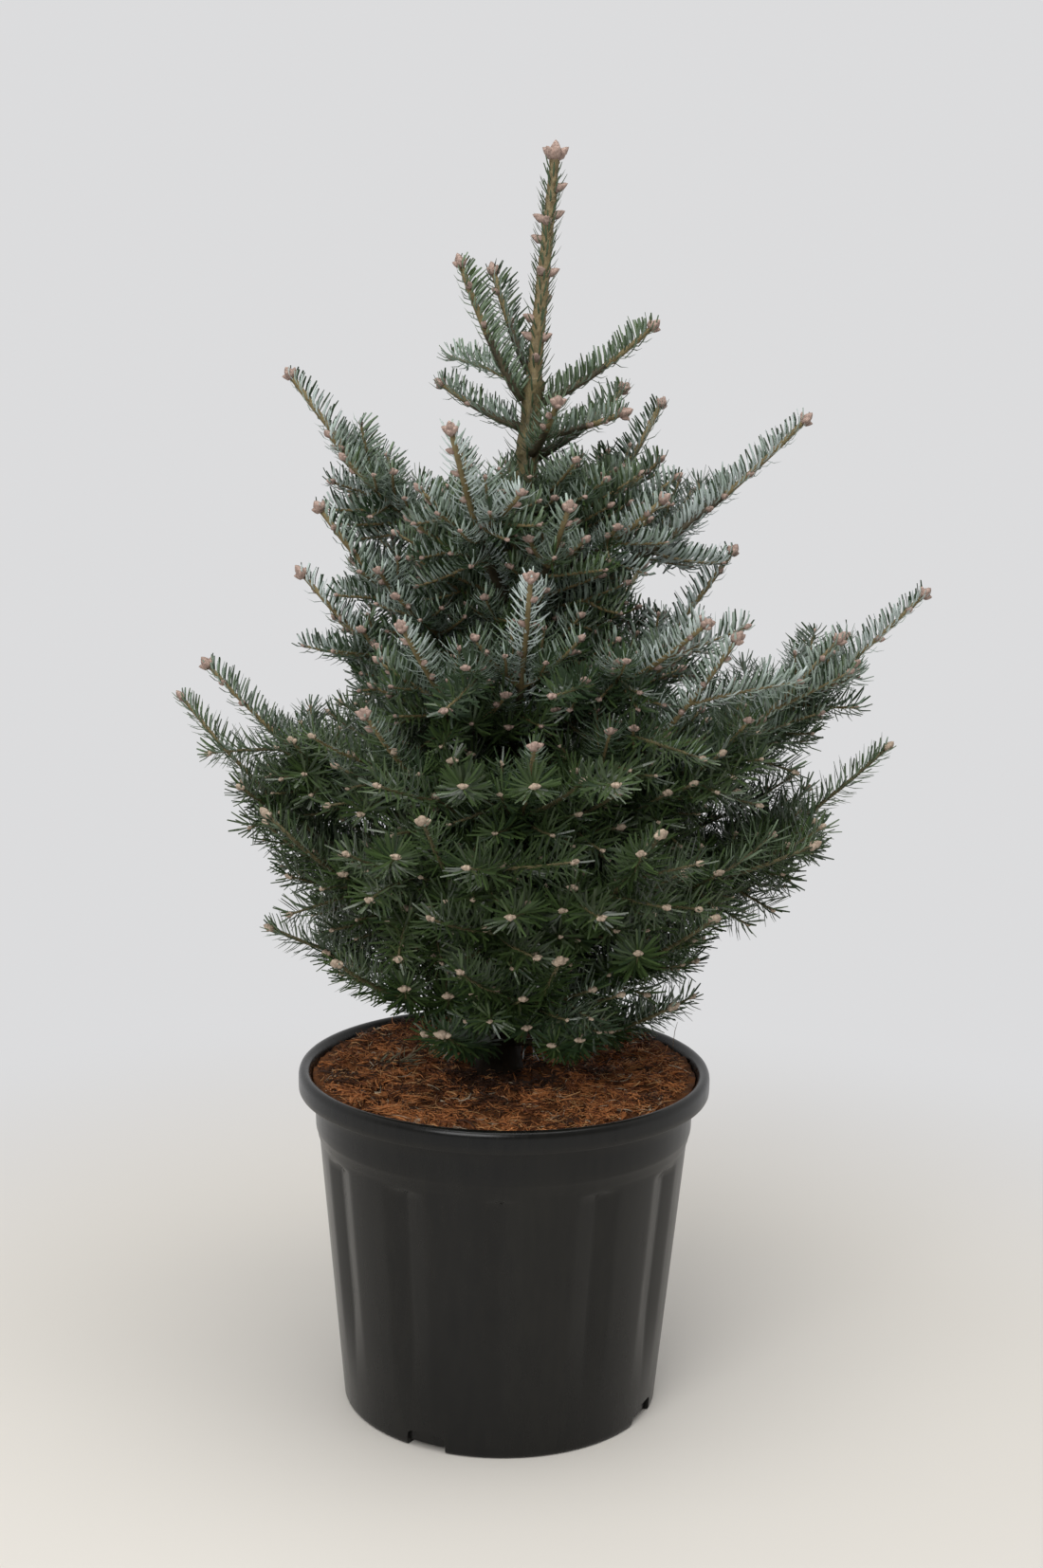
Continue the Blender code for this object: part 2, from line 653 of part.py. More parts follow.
def main():
    clear_scene()
    pot_black = make_material("pot_black", POT_BLACK)
    soil_brown = make_material("soil_brown", SOIL_BROWN)
    bark = make_material("bark", BARK)
    green = make_material("green_needles", GREEN)
    blue_green = make_material("blue_green_needles", BLUE_GREEN)
    make_pot(pot_black)
    make_soil(soil_brown)
    make_trunk(bark)
    plans = plan_limbs()
    space = Space(plans)
    plan_twigs(plans, space)
    for plan in plans:
        if plan["bare"]:
            make_bough(plan, bark)
        shade = blue_green if plan["name"].startswith(SILVERY_LAYERS) else green
        make_mass(plan, space, shade)


main()
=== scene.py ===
import math
import random
import time

import bpy
import numpy as np
from mathutils import Matrix, Vector


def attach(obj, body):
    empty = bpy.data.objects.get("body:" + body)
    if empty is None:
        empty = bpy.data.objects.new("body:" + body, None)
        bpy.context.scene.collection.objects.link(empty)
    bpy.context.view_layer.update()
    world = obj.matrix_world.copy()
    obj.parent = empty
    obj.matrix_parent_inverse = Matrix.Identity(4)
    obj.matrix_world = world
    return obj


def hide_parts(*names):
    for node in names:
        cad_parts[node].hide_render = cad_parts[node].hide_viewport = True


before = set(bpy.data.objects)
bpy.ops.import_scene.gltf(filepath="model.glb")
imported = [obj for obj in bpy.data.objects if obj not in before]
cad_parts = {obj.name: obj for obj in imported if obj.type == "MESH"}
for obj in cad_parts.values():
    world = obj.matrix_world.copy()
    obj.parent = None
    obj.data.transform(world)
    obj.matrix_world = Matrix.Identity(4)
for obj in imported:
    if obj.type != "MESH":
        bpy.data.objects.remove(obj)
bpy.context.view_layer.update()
scene = bpy.context.scene
clock = time.time()


def say(stage):
    print(f"{stage}: {time.time() - clock:.1f} s")


# numbers that the solids were made from, said again here
plant = dict(
    seed=7, gap=0.0003, soilTop=0.286, leaderFoot=0.866, leaderTop=1.044, leanStart=-0.005, lean=0.034,
    trunkFoot=0.0165, trunkTop=0.0078, leaderFootRadius=0.0062, leaderTopRadius=0.0042,
    flare=0.006, flareHeight=0.022, stagger=0.010, boughShare=0.34, limbRadius=0.0052, twigRadius=0.0021,
    terminalShare=0.42, terminalMost=0.120, twigStep=0.045, twigFirst=0.040, twigAngle=math.radians(48),
    twigShare=0.70, twigMost=0.130, twigLeast=0.036, twigLift=(0.05, 0.55), twigRoom=0.018,
)
# each limb: azimuth from the front in degrees, how far its tip reaches out, and the tip's height
layers = {
    "crown": dict(foot=0.862, sag=0.35, boughs=(), limbs=(
        (291, 0.048, 0.957), (205, 0.046, 0.954), (92, 0.110, 0.911))),
    "collar": dict(foot=0.816, sag=0.40, boughs=(), limbs=(
        (22, 0.089, 0.850), (74, 0.090, 0.842), (126, 0.111, 0.861), (235, 0.075, 0.863))),
    "upper": dict(foot=0.694, sag=0.50, boughs=(0, 4), limbs=(
        (97, 0.240, 0.838), (20, 0.126, 0.772), (62, 0.134, 0.776), (128, 0.157, 0.849),
        (263, 0.185, 0.868), (196, 0.170, 0.806), (343, 0.158, 0.829))),
    "between": dict(foot=0.642, sag=0.60, boughs=(), limbs=(
        (286, 0.160, 0.764), (234, 0.170, 0.764), (162, 0.160, 0.752))),
    "middle": dict(foot=0.578, sag=0.60, boughs=(3,), limbs=(
        (5, 0.171, 0.722), (98, 0.184, 0.730), (44, 0.212, 0.688), (146, 0.205, 0.706),
        (205, 0.205, 0.698), (286, 0.174, 0.712), (335, 0.190, 0.684))),
    "broad": dict(foot=0.500, sag=0.80, boughs=(0, 5, 6), limbs=(
        (93, 0.342, 0.698), (73, 0.270, 0.670), (50, 0.224, 0.676), (5, 0.225, 0.604),
        (330, 0.214, 0.620), (281, 0.248, 0.638), (145, 0.262, 0.626), (212, 0.258, 0.620))),
    "low": dict(foot=0.425, sag=0.90, boughs=(0,), limbs=(
        (90, 0.314, 0.572), (66, 0.264, 0.510), (28, 0.242, 0.538), (345, 0.236, 0.548),
        (302, 0.222, 0.530), (270, 0.272, 0.604), (132, 0.256, 0.530), (198, 0.252, 0.515))),
    "skirt": dict(foot=0.362, sag=0.90, boughs=(), limbs=(
        (12, 0.200, 0.436), (50, 0.212, 0.456), (98, 0.204, 0.440), (160, 0.194, 0.422),
        (225, 0.198, 0.424), (274, 0.198, 0.412), (320, 0.202, 0.420))),
    "foot": dict(foot=0.328, sag=0.70, boughs=(), limbs=(
        (342, 0.154, 0.362), (58, 0.160, 0.370), (190, 0.140, 0.362))),
}
unbranched = ("crown", "collar")
leaderBuds = ((1.016, 80), (1.005, 175), (0.995, 100), (0.992, 262), (0.990, 350), (0.976, 255), (0.962, 190),
              (0.951, 340), (0.950, 85), (0.930, 140), (0.914, 280), (0.904, 205), (0.900, 265), (0.899, 62),
              (0.883, 0))


def outward(azimuth):
    # unit vector (sin a, -cos a, 0): azimuth 0 points to the front, 90 to the right
    a = math.radians(azimuth)
    return Vector((math.sin(a), -math.cos(a), 0))


def trunkCentre(z):
    # x = leanStart + lean * t^2, with t from 0 at the soil to 1 at the leader's top
    t = (z - plant["soilTop"]) / (plant["leaderTop"] - plant["soilTop"])
    return Vector((plant["leanStart"] + plant["lean"] * t * t, 0, z))


def trunkRadius(z):
    # straight taper to the leader's foot, with an exponential flare at the soil, then the leader's own taper
    p = plant
    if z >= p["leaderFoot"]:
        t = (z - p["leaderFoot"]) / (p["leaderTop"] - p["leaderFoot"])
        return p["leaderFootRadius"] + (p["leaderTopRadius"] - p["leaderFootRadius"]) * t
    t = (z - p["soilTop"]) / (p["leaderFoot"] - p["soilTop"])
    flare = p["flare"] * math.exp(-(z - p["soilTop"]) / p["flareHeight"])
    return p["trunkFoot"] + (p["trunkTop"] - p["trunkFoot"]) * t + flare


def curveAt(path, t):
    # quadratic curve: a(1-t)^2 + 2bt(1-t) + ct^2
    a, b, c = path
    return a * (1 - t) ** 2 + b * (2 * t * (1 - t)) + c * t * t


def curveWay(path, t):
    # its unit tangent: (b-a)(1-t) + (c-b)t
    a, b, c = path
    return ((b - a) * (1 - t) + (c - b) * t).normalized()


def curveLength(path):
    # the sum of twelve chords
    spots = [curveAt(path, k / 12) for k in range(13)]
    return sum((q - p).length for p, q in zip(spots, spots[1:]))


def limbRadius(length, t):
    # stouter with its length, and thinning straight to a twig over its first three quarters
    foot = plant["twigRadius"] + (plant["limbRadius"] - plant["twigRadius"]) * min(1, length / 0.30)
    return foot + (plant["twigRadius"] - foot) * min(1, t / 0.75)


def newShoot(path, layer, number, order, bare=0.0):
    # number says whose limb it is on; order is 0 for a limb, 1 for its twigs and more for finer ones
    return dict(path=path, layer=layer, number=number, length=curveLength(path), order=order, bare=bare)


class Room:
    # points 7 mm apart along every stem so far, so that a new one is skipped where it would crowd them
    def __init__(self, most=40000):
        self.points = np.zeros((most, 3))
        self.owner = np.zeros(most, dtype=int)
        self.count = 0

    def add(self, path, owner):
        steps = max(4, round(curveLength(path) / 0.007))
        for k in range(steps + 1):
            self.points[self.count] = curveAt(path, k / steps)
            self.owner[self.count] = owner
            self.count += 1

    def nearest(self, point, notOwner=None):
        points = self.points[:self.count]
        if notOwner is not None:
            points = points[self.owner[:self.count] != notOwner]
        return np.sqrt(((points - np.array(point)) ** 2).sum(1).min())


wood = dict(gap=0.0016, potTop=0.3028, potReach=0.1949)


def inWood(point, more, boughs):
    # whether a point lies within more and the gap of the trunk, the pot or a bough
    z = min(max(point.z, plant["soilTop"]), plant["leaderTop"])
    if (point - trunkCentre(z)).length < trunkRadius(z) + wood["gap"] + more:
        return True
    if point.z < wood["potTop"] and math.hypot(point.x, point.y) < wood["potReach"]:
        return True
    away = np.linalg.norm(boughs[:, :3] - np.array(point), axis=1) - boughs[:, 3]
    return away.min() < wood["gap"] + more


def growLimbs():
    # every limb leaves the trunk level and rises to its tip; neighbours leave at different heights
    draw = random.Random(plant["seed"] + 2)
    limbs = []
    for name, layer in layers.items():
        order = sorted(layer["limbs"])
        for i, limb in enumerate(layer["limbs"]):
            azimuth, reach, tipHeight = limb
            step = plant["stagger"] * (1 if order.index(limb) % 2 else -1)
            z = layer["foot"] + step + draw.uniform(-0.004, 0.004)
            foot = trunkCentre(z) + outward(azimuth) * (trunkRadius(z) + plant["gap"] * 2)
            tip = Vector((0, 0, tipHeight)) + outward(azimuth) * reach
            middle = (foot + tip) / 2
            middle.z -= (tip.z - foot.z) / 2 * layer["sag"]
            path = (foot, middle, tip)
            limbs.append(newShoot(path, name, len(limbs), 0, plant["boughShare"] if i in layer["boughs"] else 0.0))
            limbs[-1]["name"] = f"{name}_{i + 1}"
    return limbs


def tooLow(tip):
    # the crown's lower edge rises outwards; in front a few shoots hang over the soil
    reach = math.hypot(tip.x, tip.y)
    front = tip.y < 0 and abs(tip.x - 0.02) < 0.075
    return tip.z < (0.348 if front else 0.378 + 0.35 * max(0, reach - 0.10))


# sky that shows between the shoots from the front: x, z and radius on the upright plane through the trunk
openSky = ((-0.173, 0.785, 0.021), (0.200, 0.768, 0.025), (0.234, 0.780, 0.023), (0.289, 0.585, 0.019),
           (0.243, 0.564, 0.010), (-0.231, 0.452, 0.040), (-0.239, 0.497, 0.020), (-0.016, 0.311, 0.018),
           (0.144, 0.832, 0.014), (-0.098, 0.832, 0.013), (-0.090, 0.824, 0.016), (-0.110, 0.840, 0.012),
           (0.176, 0.752, 0.015), (0.165, 0.745, 0.015), (0.305, 0.605, 0.012))
eye = Vector((0.0105, -1.7821, 0.8597))


def inSky(path):
    # whether a shoot's outer half, carried along the line of sight on to the plane y = 0, meets an opening
    for t in (0.6, 1.0):
        p = curveAt(path, t)
        q = eye + (p - eye) * (eye.y / (eye.y - p.y))
        if any(math.hypot(q.x - x, q.z - z) < radius for x, z, radius in openSky):
            return True
    return False


def sideTwig(path, t, hand, size, draw, lift=plant["twigLift"], turnShare=1.0):
    # leaves the path at the twig angle, bends halfway back to its way and lifts its tip
    way = curveWay(path, t)
    side = way.cross(Vector((0, 0, 1))).normalized() * hand
    turn = plant["twigAngle"] * turnShare * draw.uniform(0.88, 1.14)
    foot = curveAt(path, max(0.0, t - draw.uniform(0.0, 0.03)))
    start = way * math.cos(turn) + side * math.sin(turn)
    ahead = (start + way * 0.35 + Vector((0, 0, draw.uniform(*lift)))).normalized()
    middle = foot + start * size / 2
    return foot, middle, middle + ahead * size / 2


def growTwigs(limbs, room, boughs):
    # the source's pairs of side twigs, with its own draws, so that they fall where the solids have them
    draw = random.Random(plant["seed"] + 3)
    twigs = []
    for pair in range(6):
        for limb in limbs:
            length = limb["length"]
            at = length - min(plant["terminalShare"] * length, plant["terminalMost"])
            at -= plant["twigStep"] * pair * draw.uniform(0.92, 1.08)
            if at < max(plant["twigFirst"], limb["bare"] * length + 0.010):
                continue
            for hand in (-1, 1):
                size = min(plant["twigShare"] * (length - at), plant["twigMost"]) * draw.uniform(0.84, 1.10)
                path = sideTwig(limb["path"], at / length, hand, size, draw)
                if size <= plant["twigLeast"] or limb["layer"] in unbranched:
                    continue
                spots = [curveAt(path, t) for t in (0.35, 0.55, 0.75, 1.0)]
                if any(room.nearest(p, limb["number"]) < plant["twigRoom"] or inWood(p, plant["twigRadius"], boughs)
                       for p in spots):
                    continue
                room.add(path, limb["number"])
                if not inSky(path):
                    twigs.append(newShoot(path, limb["layer"], limb["number"], 1))
    return twigs


# short shoots whose tips show from the front: azimuth, reach and height of the tip
shownTips = (
    (278, 0.148, 0.784), (298, 0.108, 0.794), (67, 0.126, 0.777), (226, 0.074, 0.884),
    (351, 0.202, 0.658), (9, 0.202, 0.638), (27, 0.191, 0.661), (348, 0.225, 0.629), (330, 0.209, 0.626),
    (54, 0.222, 0.684), (62, 0.253, 0.641), (73, 0.280, 0.645), (270, 0.270, 0.616), (318, 0.222, 0.600),
    (72, 0.264, 0.520), (108, 0.256, 0.531), (282, 0.248, 0.566), (292, 0.209, 0.515), (5, 0.231, 0.576),
    (352, 0.232, 0.575), (19, 0.244, 0.578), (39, 0.232, 0.590), (36, 0.246, 0.514), (336, 0.235, 0.572),
    (276, 0.195, 0.415), (319, 0.198, 0.423), (7, 0.202, 0.440), (45, 0.211, 0.467), (49, 0.151, 0.384),
    (72, 0.162, 0.369), (7, 0.145, 0.368), (15, 0.145, 0.353), (23, 0.153, 0.358), (25, 0.160, 0.393),
    (5, 0.168, 0.398),
    (340, 0.236, 0.520), (353, 0.238, 0.516), (12, 0.242, 0.522), (24, 0.244, 0.526), (328, 0.226, 0.515),
    (333, 0.225, 0.482), (346, 0.229, 0.474), (1, 0.231, 0.478), (18, 0.232, 0.476), (31, 0.234, 0.480),
    (78, 0.237, 0.558), (66, 0.218, 0.538), (61, 0.205, 0.551), (69, 0.227, 0.513), (62, 0.216, 0.498),
    (321, 0.180, 0.535), (305, 0.174, 0.534), (331, 0.184, 0.524), (315, 0.183, 0.502),
    (338, 0.214, 0.436), (351, 0.212, 0.430), (28, 0.215, 0.442), (305, 0.208, 0.450), (292, 0.190, 0.470),
)


def growShown(stems, room):
    # from each shown tip back to the stem that could carry it best: about 70 mm behind and a little below it
    feet = [(stem, k / 10, curveAt(stem["path"], k / 10)) for stem in stems for k in range(2, 10)]
    spots = np.array([f[2] for f in feet])
    shown = []
    for azimuth, reach, height in shownTips:
        tip = Vector((0, 0, height)) + outward(azimuth) * reach
        back = np.array(tip) - spots
        away = np.linalg.norm(back, axis=1)
        rise = back[:, 2] / np.maximum(away, 1e-6)
        out = back @ np.array(outward(azimuth)) / np.maximum(away, 1e-6)
        cost = np.abs(away - 0.062) / 0.03 + np.abs(rise - 0.25) * 1.5 + (1 - out) * 2.2
        best = int(cost.argmin())
        stem, t, foot = feet[best]
        if away[best] > 0.13 or room.nearest(tip) < 0.013:
            continue
        way = curveWay(stem["path"], t)
        span = (tip - foot).length
        middle = foot + (way * 0.35 + (tip - foot).normalized() * 0.65).normalized() * span * 0.5
        middle.z -= span * 0.08
        path = (foot, middle, tip)
        room.add(path, stem["number"])
        shown.append(newShoot(path, stem["layer"], stem["number"], 2))
    return shown


# on limbs and on twigs: the step between pairs, the share of what lies beyond, and the longest
finer = dict(onLimbs=(0.030, 0.62, 0.085), onTwigs=(0.026, 0.58, 0.062), firstBack=0.42, foot=0.012, least=0.020,
             keep=1.0, lift=(-0.20, 0.30), turn=0.88, at=(0.5, 0.75, 1.0), room=0.0125, tipRoom=0.018)
between = dict(tries=5600, last=0.62, share=0.60, most=0.058, least=0.022, lean=(34, 58), lift=(-0.15, 0.35),
               at=(0.5, 0.75, 1.0), room=0.0112, tipRoom=0.0160)
fromTrunk = dict(tries=600, heights=(0.330, 0.765), sizes=(0.05, 0.115), more=0.045, moreAt=0.48, moreOver=0.07,
                 at=(0.45, 0.7, 1.0), room=0.013, tipRoom=0.020)


def crowded(path, limits, room, boughs):
    # whether a shoot comes too near to another stem, most of all with its tip, or into wood
    spots = [curveAt(path, t) for t in limits["at"]]
    near = [room.nearest(p) for p in spots]
    return (min(near) < limits["room"] or near[-1] < limits["tipRoom"]
            or any(inWood(p, 0.002, boughs) for p in spots))


def growFiner(parents, room, boughs, seed, order, step, share, most):
    # pairs of small twigs down each parent, each no longer than a share of what lies beyond it
    draw = random.Random(seed)
    grown = []
    for parent in parents:
        length = parent["length"]
        at = length * (1 - finer["firstBack"])
        while at > parent["bare"] * length + finer["foot"]:
            for hand in (-1, 1):
                size = min(share * (length - at), most) * draw.uniform(0.8, 1.15)
                path = sideTwig(parent["path"], at / length, hand, size, draw, finer["lift"], finer["turn"])
                if size < finer["least"] or draw.random() > finer["keep"] or tooLow(path[2]) or inSky(path):
                    continue
                if not crowded(path, finer, room, boughs):
                    room.add(path, parent["number"])
                    grown.append(newShoot(path, parent["layer"], parent["number"], order))
            at -= step * draw.uniform(0.85, 1.15)
    return grown


def growBetween(parents, room, boughs, seed):
    # single shoots at any side of a limb, above and below it too, wherever there is still room
    draw = random.Random(seed)
    grown = []
    for _ in range(between["tries"]):
        parent = parents[draw.randrange(len(parents))]
        t = draw.uniform(max(0.10, parent["bare"] + 0.04), between["last"])
        size = min(between["share"] * parent["length"] * (1 - t) + 0.012, between["most"]) * draw.uniform(0.8, 1.1)
        if size < between["least"]:
            continue
        way = curveWay(parent["path"], t)
        side = way.cross(Vector((0, 0, 1))).normalized()
        up = side.cross(way)
        roll = draw.uniform(-1, 1) * math.pi
        if math.sin(roll) > 0.2 and t > 0.35:  # beyond a third of the limb they hang under it
            roll = -roll
        lean = math.radians(draw.uniform(*between["lean"]))
        start = way * math.cos(lean) + (side * math.cos(roll) + up * math.sin(roll)) * math.sin(lean)
        foot = curveAt(parent["path"], t)
        ahead = (start + way * 0.3 + Vector((0, 0, draw.uniform(*between["lift"])))).normalized()
        middle = foot + start * size / 2
        path = (foot, middle, middle + ahead * size / 2)
        if tooLow(path[2]) or inSky(path) or crowded(path, between, room, boughs):
            continue
        room.add(path, parent["number"])
        grown.append(newShoot(path, parent["layer"], parent["number"], 3))
    return grown


def growFromTrunk(room, boughs, seed):
    # small limbs from the trunk between the layers, where the inner crown closes, longest at moreAt
    draw = random.Random(seed)
    grown = []
    feet = sorted((layer["foot"], name) for name, layer in layers.items())
    for _ in range(fromTrunk["tries"]):
        z = draw.uniform(*fromTrunk["heights"])
        azimuth = draw.uniform(0, 360)
        size = draw.uniform(*fromTrunk["sizes"])
        size += fromTrunk["more"] * math.exp(-((z - fromTrunk["moreAt"]) / fromTrunk["moreOver"]) ** 2)
        foot = trunkCentre(z) + outward(azimuth) * trunkRadius(z) * 0.8
        start = (outward(azimuth) + Vector((0, 0, draw.uniform(0.1, 0.4)))).normalized()
        middle = foot + start * size / 2
        path = (foot, middle, middle + (start + Vector((0, 0, 0.35))).normalized() * size / 2)
        if not crowded(path, fromTrunk, room, boughs):
            room.add(path, -1)
            grown.append(newShoot(path, [name for height, name in feet if height <= z + 0.02][-1], -1, 2))
    return grown


limbs = growLimbs()
room = Room()
boughPoints = []
for limb in limbs:
    room.add(limb["path"], limb["number"])
    for k in range(13 if limb["bare"] else 0):
        t = (limb["bare"] + 0.01) * k / 12
        boughPoints.append((*curveAt(limb["path"], t), limbRadius(limb["length"], t)))
boughPoints = np.array(boughPoints)
twigs = growTwigs(limbs, room, boughPoints)
shown = growShown(limbs + twigs, room)
branched = [limb for limb in limbs if limb["layer"] not in unbranched]
second = growFiner(branched, room, boughPoints, 41, 2, *finer["onLimbs"])
second += growFiner(twigs + shown, room, boughPoints, 42, 3, *finer["onTwigs"])
inner = growFromTrunk(room, boughPoints, 53)
second += growBetween(branched + twigs + inner, room, boughPoints, 43)
shoots = limbs + twigs + shown + second + inner
say(f"grew {len(limbs)} limbs, {len(twigs)} twigs, {len(shown)} shown, {len(second)} finer, {len(inner)} inner")


def unit(rows):
    # each row divided by its own length
    return rows / np.maximum(np.linalg.norm(rows, axis=-1, keepdims=True), 1e-9)


def dot(a, b):
    # the product of each pair of rows
    return (a * b).sum(-1, keepdims=True)


def around(angle, r, z):
    # (r sin a, -r cos a, z): angle 0 is in front and a quarter turn further is the right
    return np.stack(np.broadcast_arrays(np.sin(angle) * r, -np.cos(angle) * r, z), -1)


def ripple(points, size, seed, waves=7):
    # smooth unevenness from -1 to 1: the mean of cosines of the points along random ways, size apart
    draw = np.random.default_rng(seed)
    ways = unit(draw.normal(size=(waves, 3))) * draw.uniform(0.7, 1.5, (waves, 1)) * 2 * math.pi / size
    turns = draw.uniform(0, 2 * math.pi, waves)
    return np.cos(np.asarray(points) @ ways.T + turns).sum(-1) / waves ** 0.5 / 1.3


def makePiece(name, points, corners, sizes, materials, slotName, nodes, picks=None, smooth=True):
    # a mesh object from its points, the flat list of its faces' corners and each face's number of corners
    mesh = bpy.data.meshes.new(name)
    points = np.ascontiguousarray(points, dtype=np.float32).reshape(-1, 3)
    sizes = np.asarray(sizes, dtype=np.int32)
    mesh.vertices.add(len(points))
    mesh.vertices.foreach_set("co", points.ravel())
    mesh.loops.add(int(sizes.sum()))
    mesh.loops.foreach_set("vertex_index", np.asarray(corners, dtype=np.int32).ravel())
    mesh.polygons.add(len(sizes))
    mesh.polygons.foreach_set("loop_start", np.concatenate(([0], np.cumsum(sizes)[:-1])).astype(np.int32))
    for material in materials:
        mesh.materials.append(material)
    if picks is not None:
        mesh.polygons.foreach_set("material_index", np.asarray(picks, dtype=np.int32))
    mesh.polygons.foreach_set("use_smooth", np.full(len(sizes), smooth))
    mesh.update(calc_edges=True)
    mesh.validate()
    piece = bpy.data.objects.new(name, mesh)
    scene.collection.objects.link(piece)
    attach(piece, "root")
    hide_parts(*nodes)
    return piece


def tubeFaces(count, rings, sides):
    # quads round every tube and a flat face at both of its ends
    tube = np.arange(count)[:, None, None] * rings * sides
    row = np.arange(rings - 1)[None, :, None] * sides
    k = np.arange(sides)[None, None, :]
    a, b = tube + row + k, tube + row + (k + 1) % sides
    quads = np.stack((a, a + sides, b + sides, b), -1).reshape(-1, 4)
    first = (np.arange(count)[:, None] * rings * sides + np.arange(sides)[None, :])
    last = (first + (rings - 1) * sides)[:, ::-1]
    corners = np.concatenate((quads.ravel(), first.ravel(), last.ravel()))
    sizes = np.concatenate((np.full(len(quads), 4), np.full(2 * count, sides)))
    return corners, sizes


def curves(paths, t):
    # points and unit tangents of many quadratic curves at the shares t, one row of shares for each curve
    a, b, c = (paths[:, k, None, :] for k in range(3))
    t = t[..., None]
    return a * (1 - t) ** 2 + b * 2 * t * (1 - t) + c * t ** 2, unit((b - a) * (1 - t) + (c - b) * t)


def frames(points, ways):
    # the upper side of a stem: up made square to it, or, where it stands upright, its side towards the trunk
    inward = -points * np.array((1.0, 1.0, 0.0))
    up = np.array((0.0, 0.0, 1.0)) + unit(inward) * 0.10
    up = unit(up - ways * dot(up, ways))
    return up, np.cross(ways, up)


def tubes(paths, radii, rings, sides, seed, rough=0.06, shares=None):
    # tubes along curves: centre + radius * (cos a * side + sin a * up), a little uneven
    t = np.linspace(0, 1, rings)[None, :] * np.ones((len(paths), 1)) if shares is None else shares
    centre, way = curves(paths, t)
    up, side = frames(centre, way)
    angle = np.arange(sides) * 2 * math.pi / sides
    ring = side[:, :, None] * np.cos(angle)[:, None] + up[:, :, None] * np.sin(angle)[:, None]
    points = centre[:, :, None] + ring * radii[:, :, None, None]
    bumps = 1 + rough * ripple(points, 0.006, seed)
    return centre[:, :, None] + ring * (radii[:, :, None] * bumps)[..., None]


def fill(node, values):
    # sets the unlinked inputs of a node
    for socket, value in values.items():
        node.inputs[socket].default_value = value


def wire(tree, links):
    # each link: a node and its output, then a node and the input that it feeds
    for source, output, target, socket in links:
        tree.links.new(source.outputs[output], target.inputs[socket])


def mottleGroup():
    # two colours mixed by broad and fine noise; gives the colour, its mask and a height
    group = bpy.data.node_groups.new("mottle", "ShaderNodeTree")
    for name, kind, value in (("Vector", "Vector", None), ("Scale", "Float", 40.0), ("Fine", "Float", 6.0),
                              ("Low", "Float", 0.35), ("High", "Float", 0.65), ("Dark", "Color", (0, 0, 0, 1)),
                              ("Light", "Color", (1, 1, 1, 1))):
        socket = group.interface.new_socket(name=name, in_out="INPUT", socket_type="NodeSocket" + kind)
        if value is not None:
            socket.default_value = value
    for name, kind in (("Color", "Color"), ("Mask", "Float"), ("Height", "Float")):
        group.interface.new_socket(name=name, in_out="OUTPUT", socket_type="NodeSocket" + kind)
    into, out, broad, fine, times, blend, spread, paint = (group.nodes.new(kind) for kind in (
        "NodeGroupInput", "NodeGroupOutput", "ShaderNodeTexNoise", "ShaderNodeTexNoise", "ShaderNodeMath",
        "ShaderNodeMix", "ShaderNodeMapRange", "ShaderNodeMix"))
    times.operation, paint.data_type = "MULTIPLY", "RGBA"
    fill(broad, {"Detail": 4.0})
    fill(fine, {"Detail": 3.0})
    fill(blend, {0: 0.35})
    wire(group, (
        (into, "Scale", times, 0), (into, "Fine", times, 1), (into, "Vector", broad, "Vector"),
        (into, "Vector", fine, "Vector"), (into, "Scale", broad, "Scale"), (times, 0, fine, "Scale"),
        (broad, "Fac", blend, 2), (fine, "Fac", blend, 3), (blend, 0, spread, "Value"),
        (into, "Low", spread, "From Min"), (into, "High", spread, "From Max"), (spread, "Result", paint, 0),
        (into, "Dark", paint, 6), (into, "Light", paint, 7), (paint, 2, out, "Color"),
        (spread, "Result", out, "Mask"), (blend, 0, out, "Height")))
    return group


mottle = mottleGroup()


def newMaterial(name, values):
    # a material with its own shader, filled with plain values
    material = bpy.data.materials.new(name)
    material.use_nodes = True
    shader = material.node_tree.nodes["Principled BSDF"]
    fill(shader, values)
    return material, shader


def plainMaterial(name, colour, roughness, specular):
    material, _ = newMaterial(name, {"Base Color": (*colour, 1), "Roughness": roughness,
                                     "Specular IOR Level": specular})
    return material


def mottledMaterial(name, dark, light, scale, stretch=(1, 1, 1), fine=6.0, low=0.35, high=0.65, rough=(0.5, 0.8),
                    bump=0.3, depth=0.001, specular=0.4):
    # noise in the object's own coordinates drives the colour, the roughness and a small bump
    material, shader = newMaterial(name, {"Specular IOR Level": specular})
    tree = material.node_tree
    place, mapping, pattern, gloss, relief = (tree.nodes.new("ShaderNode" + kind) for kind in (
        "TexCoord", "Mapping", "Group", "MapRange", "Bump"))
    pattern.node_tree = mottle
    fill(mapping, {"Scale": stretch})
    fill(pattern, {"Scale": scale, "Fine": fine, "Low": low, "High": high, "Dark": (*dark, 1),
                   "Light": (*light, 1)})
    fill(gloss, {"To Min": rough[0], "To Max": rough[1]})
    fill(relief, {"Strength": bump, "Distance": depth})
    wire(tree, (
        (place, "Object", mapping, "Vector"), (mapping, "Vector", pattern, "Vector"),
        (pattern, "Color", shader, "Base Color"), (pattern, "Mask", gloss, "Value"),
        (gloss, "Result", shader, "Roughness"), (pattern, "Height", relief, "Height"),
        (relief, "Normal", shader, "Normal")))
    return material


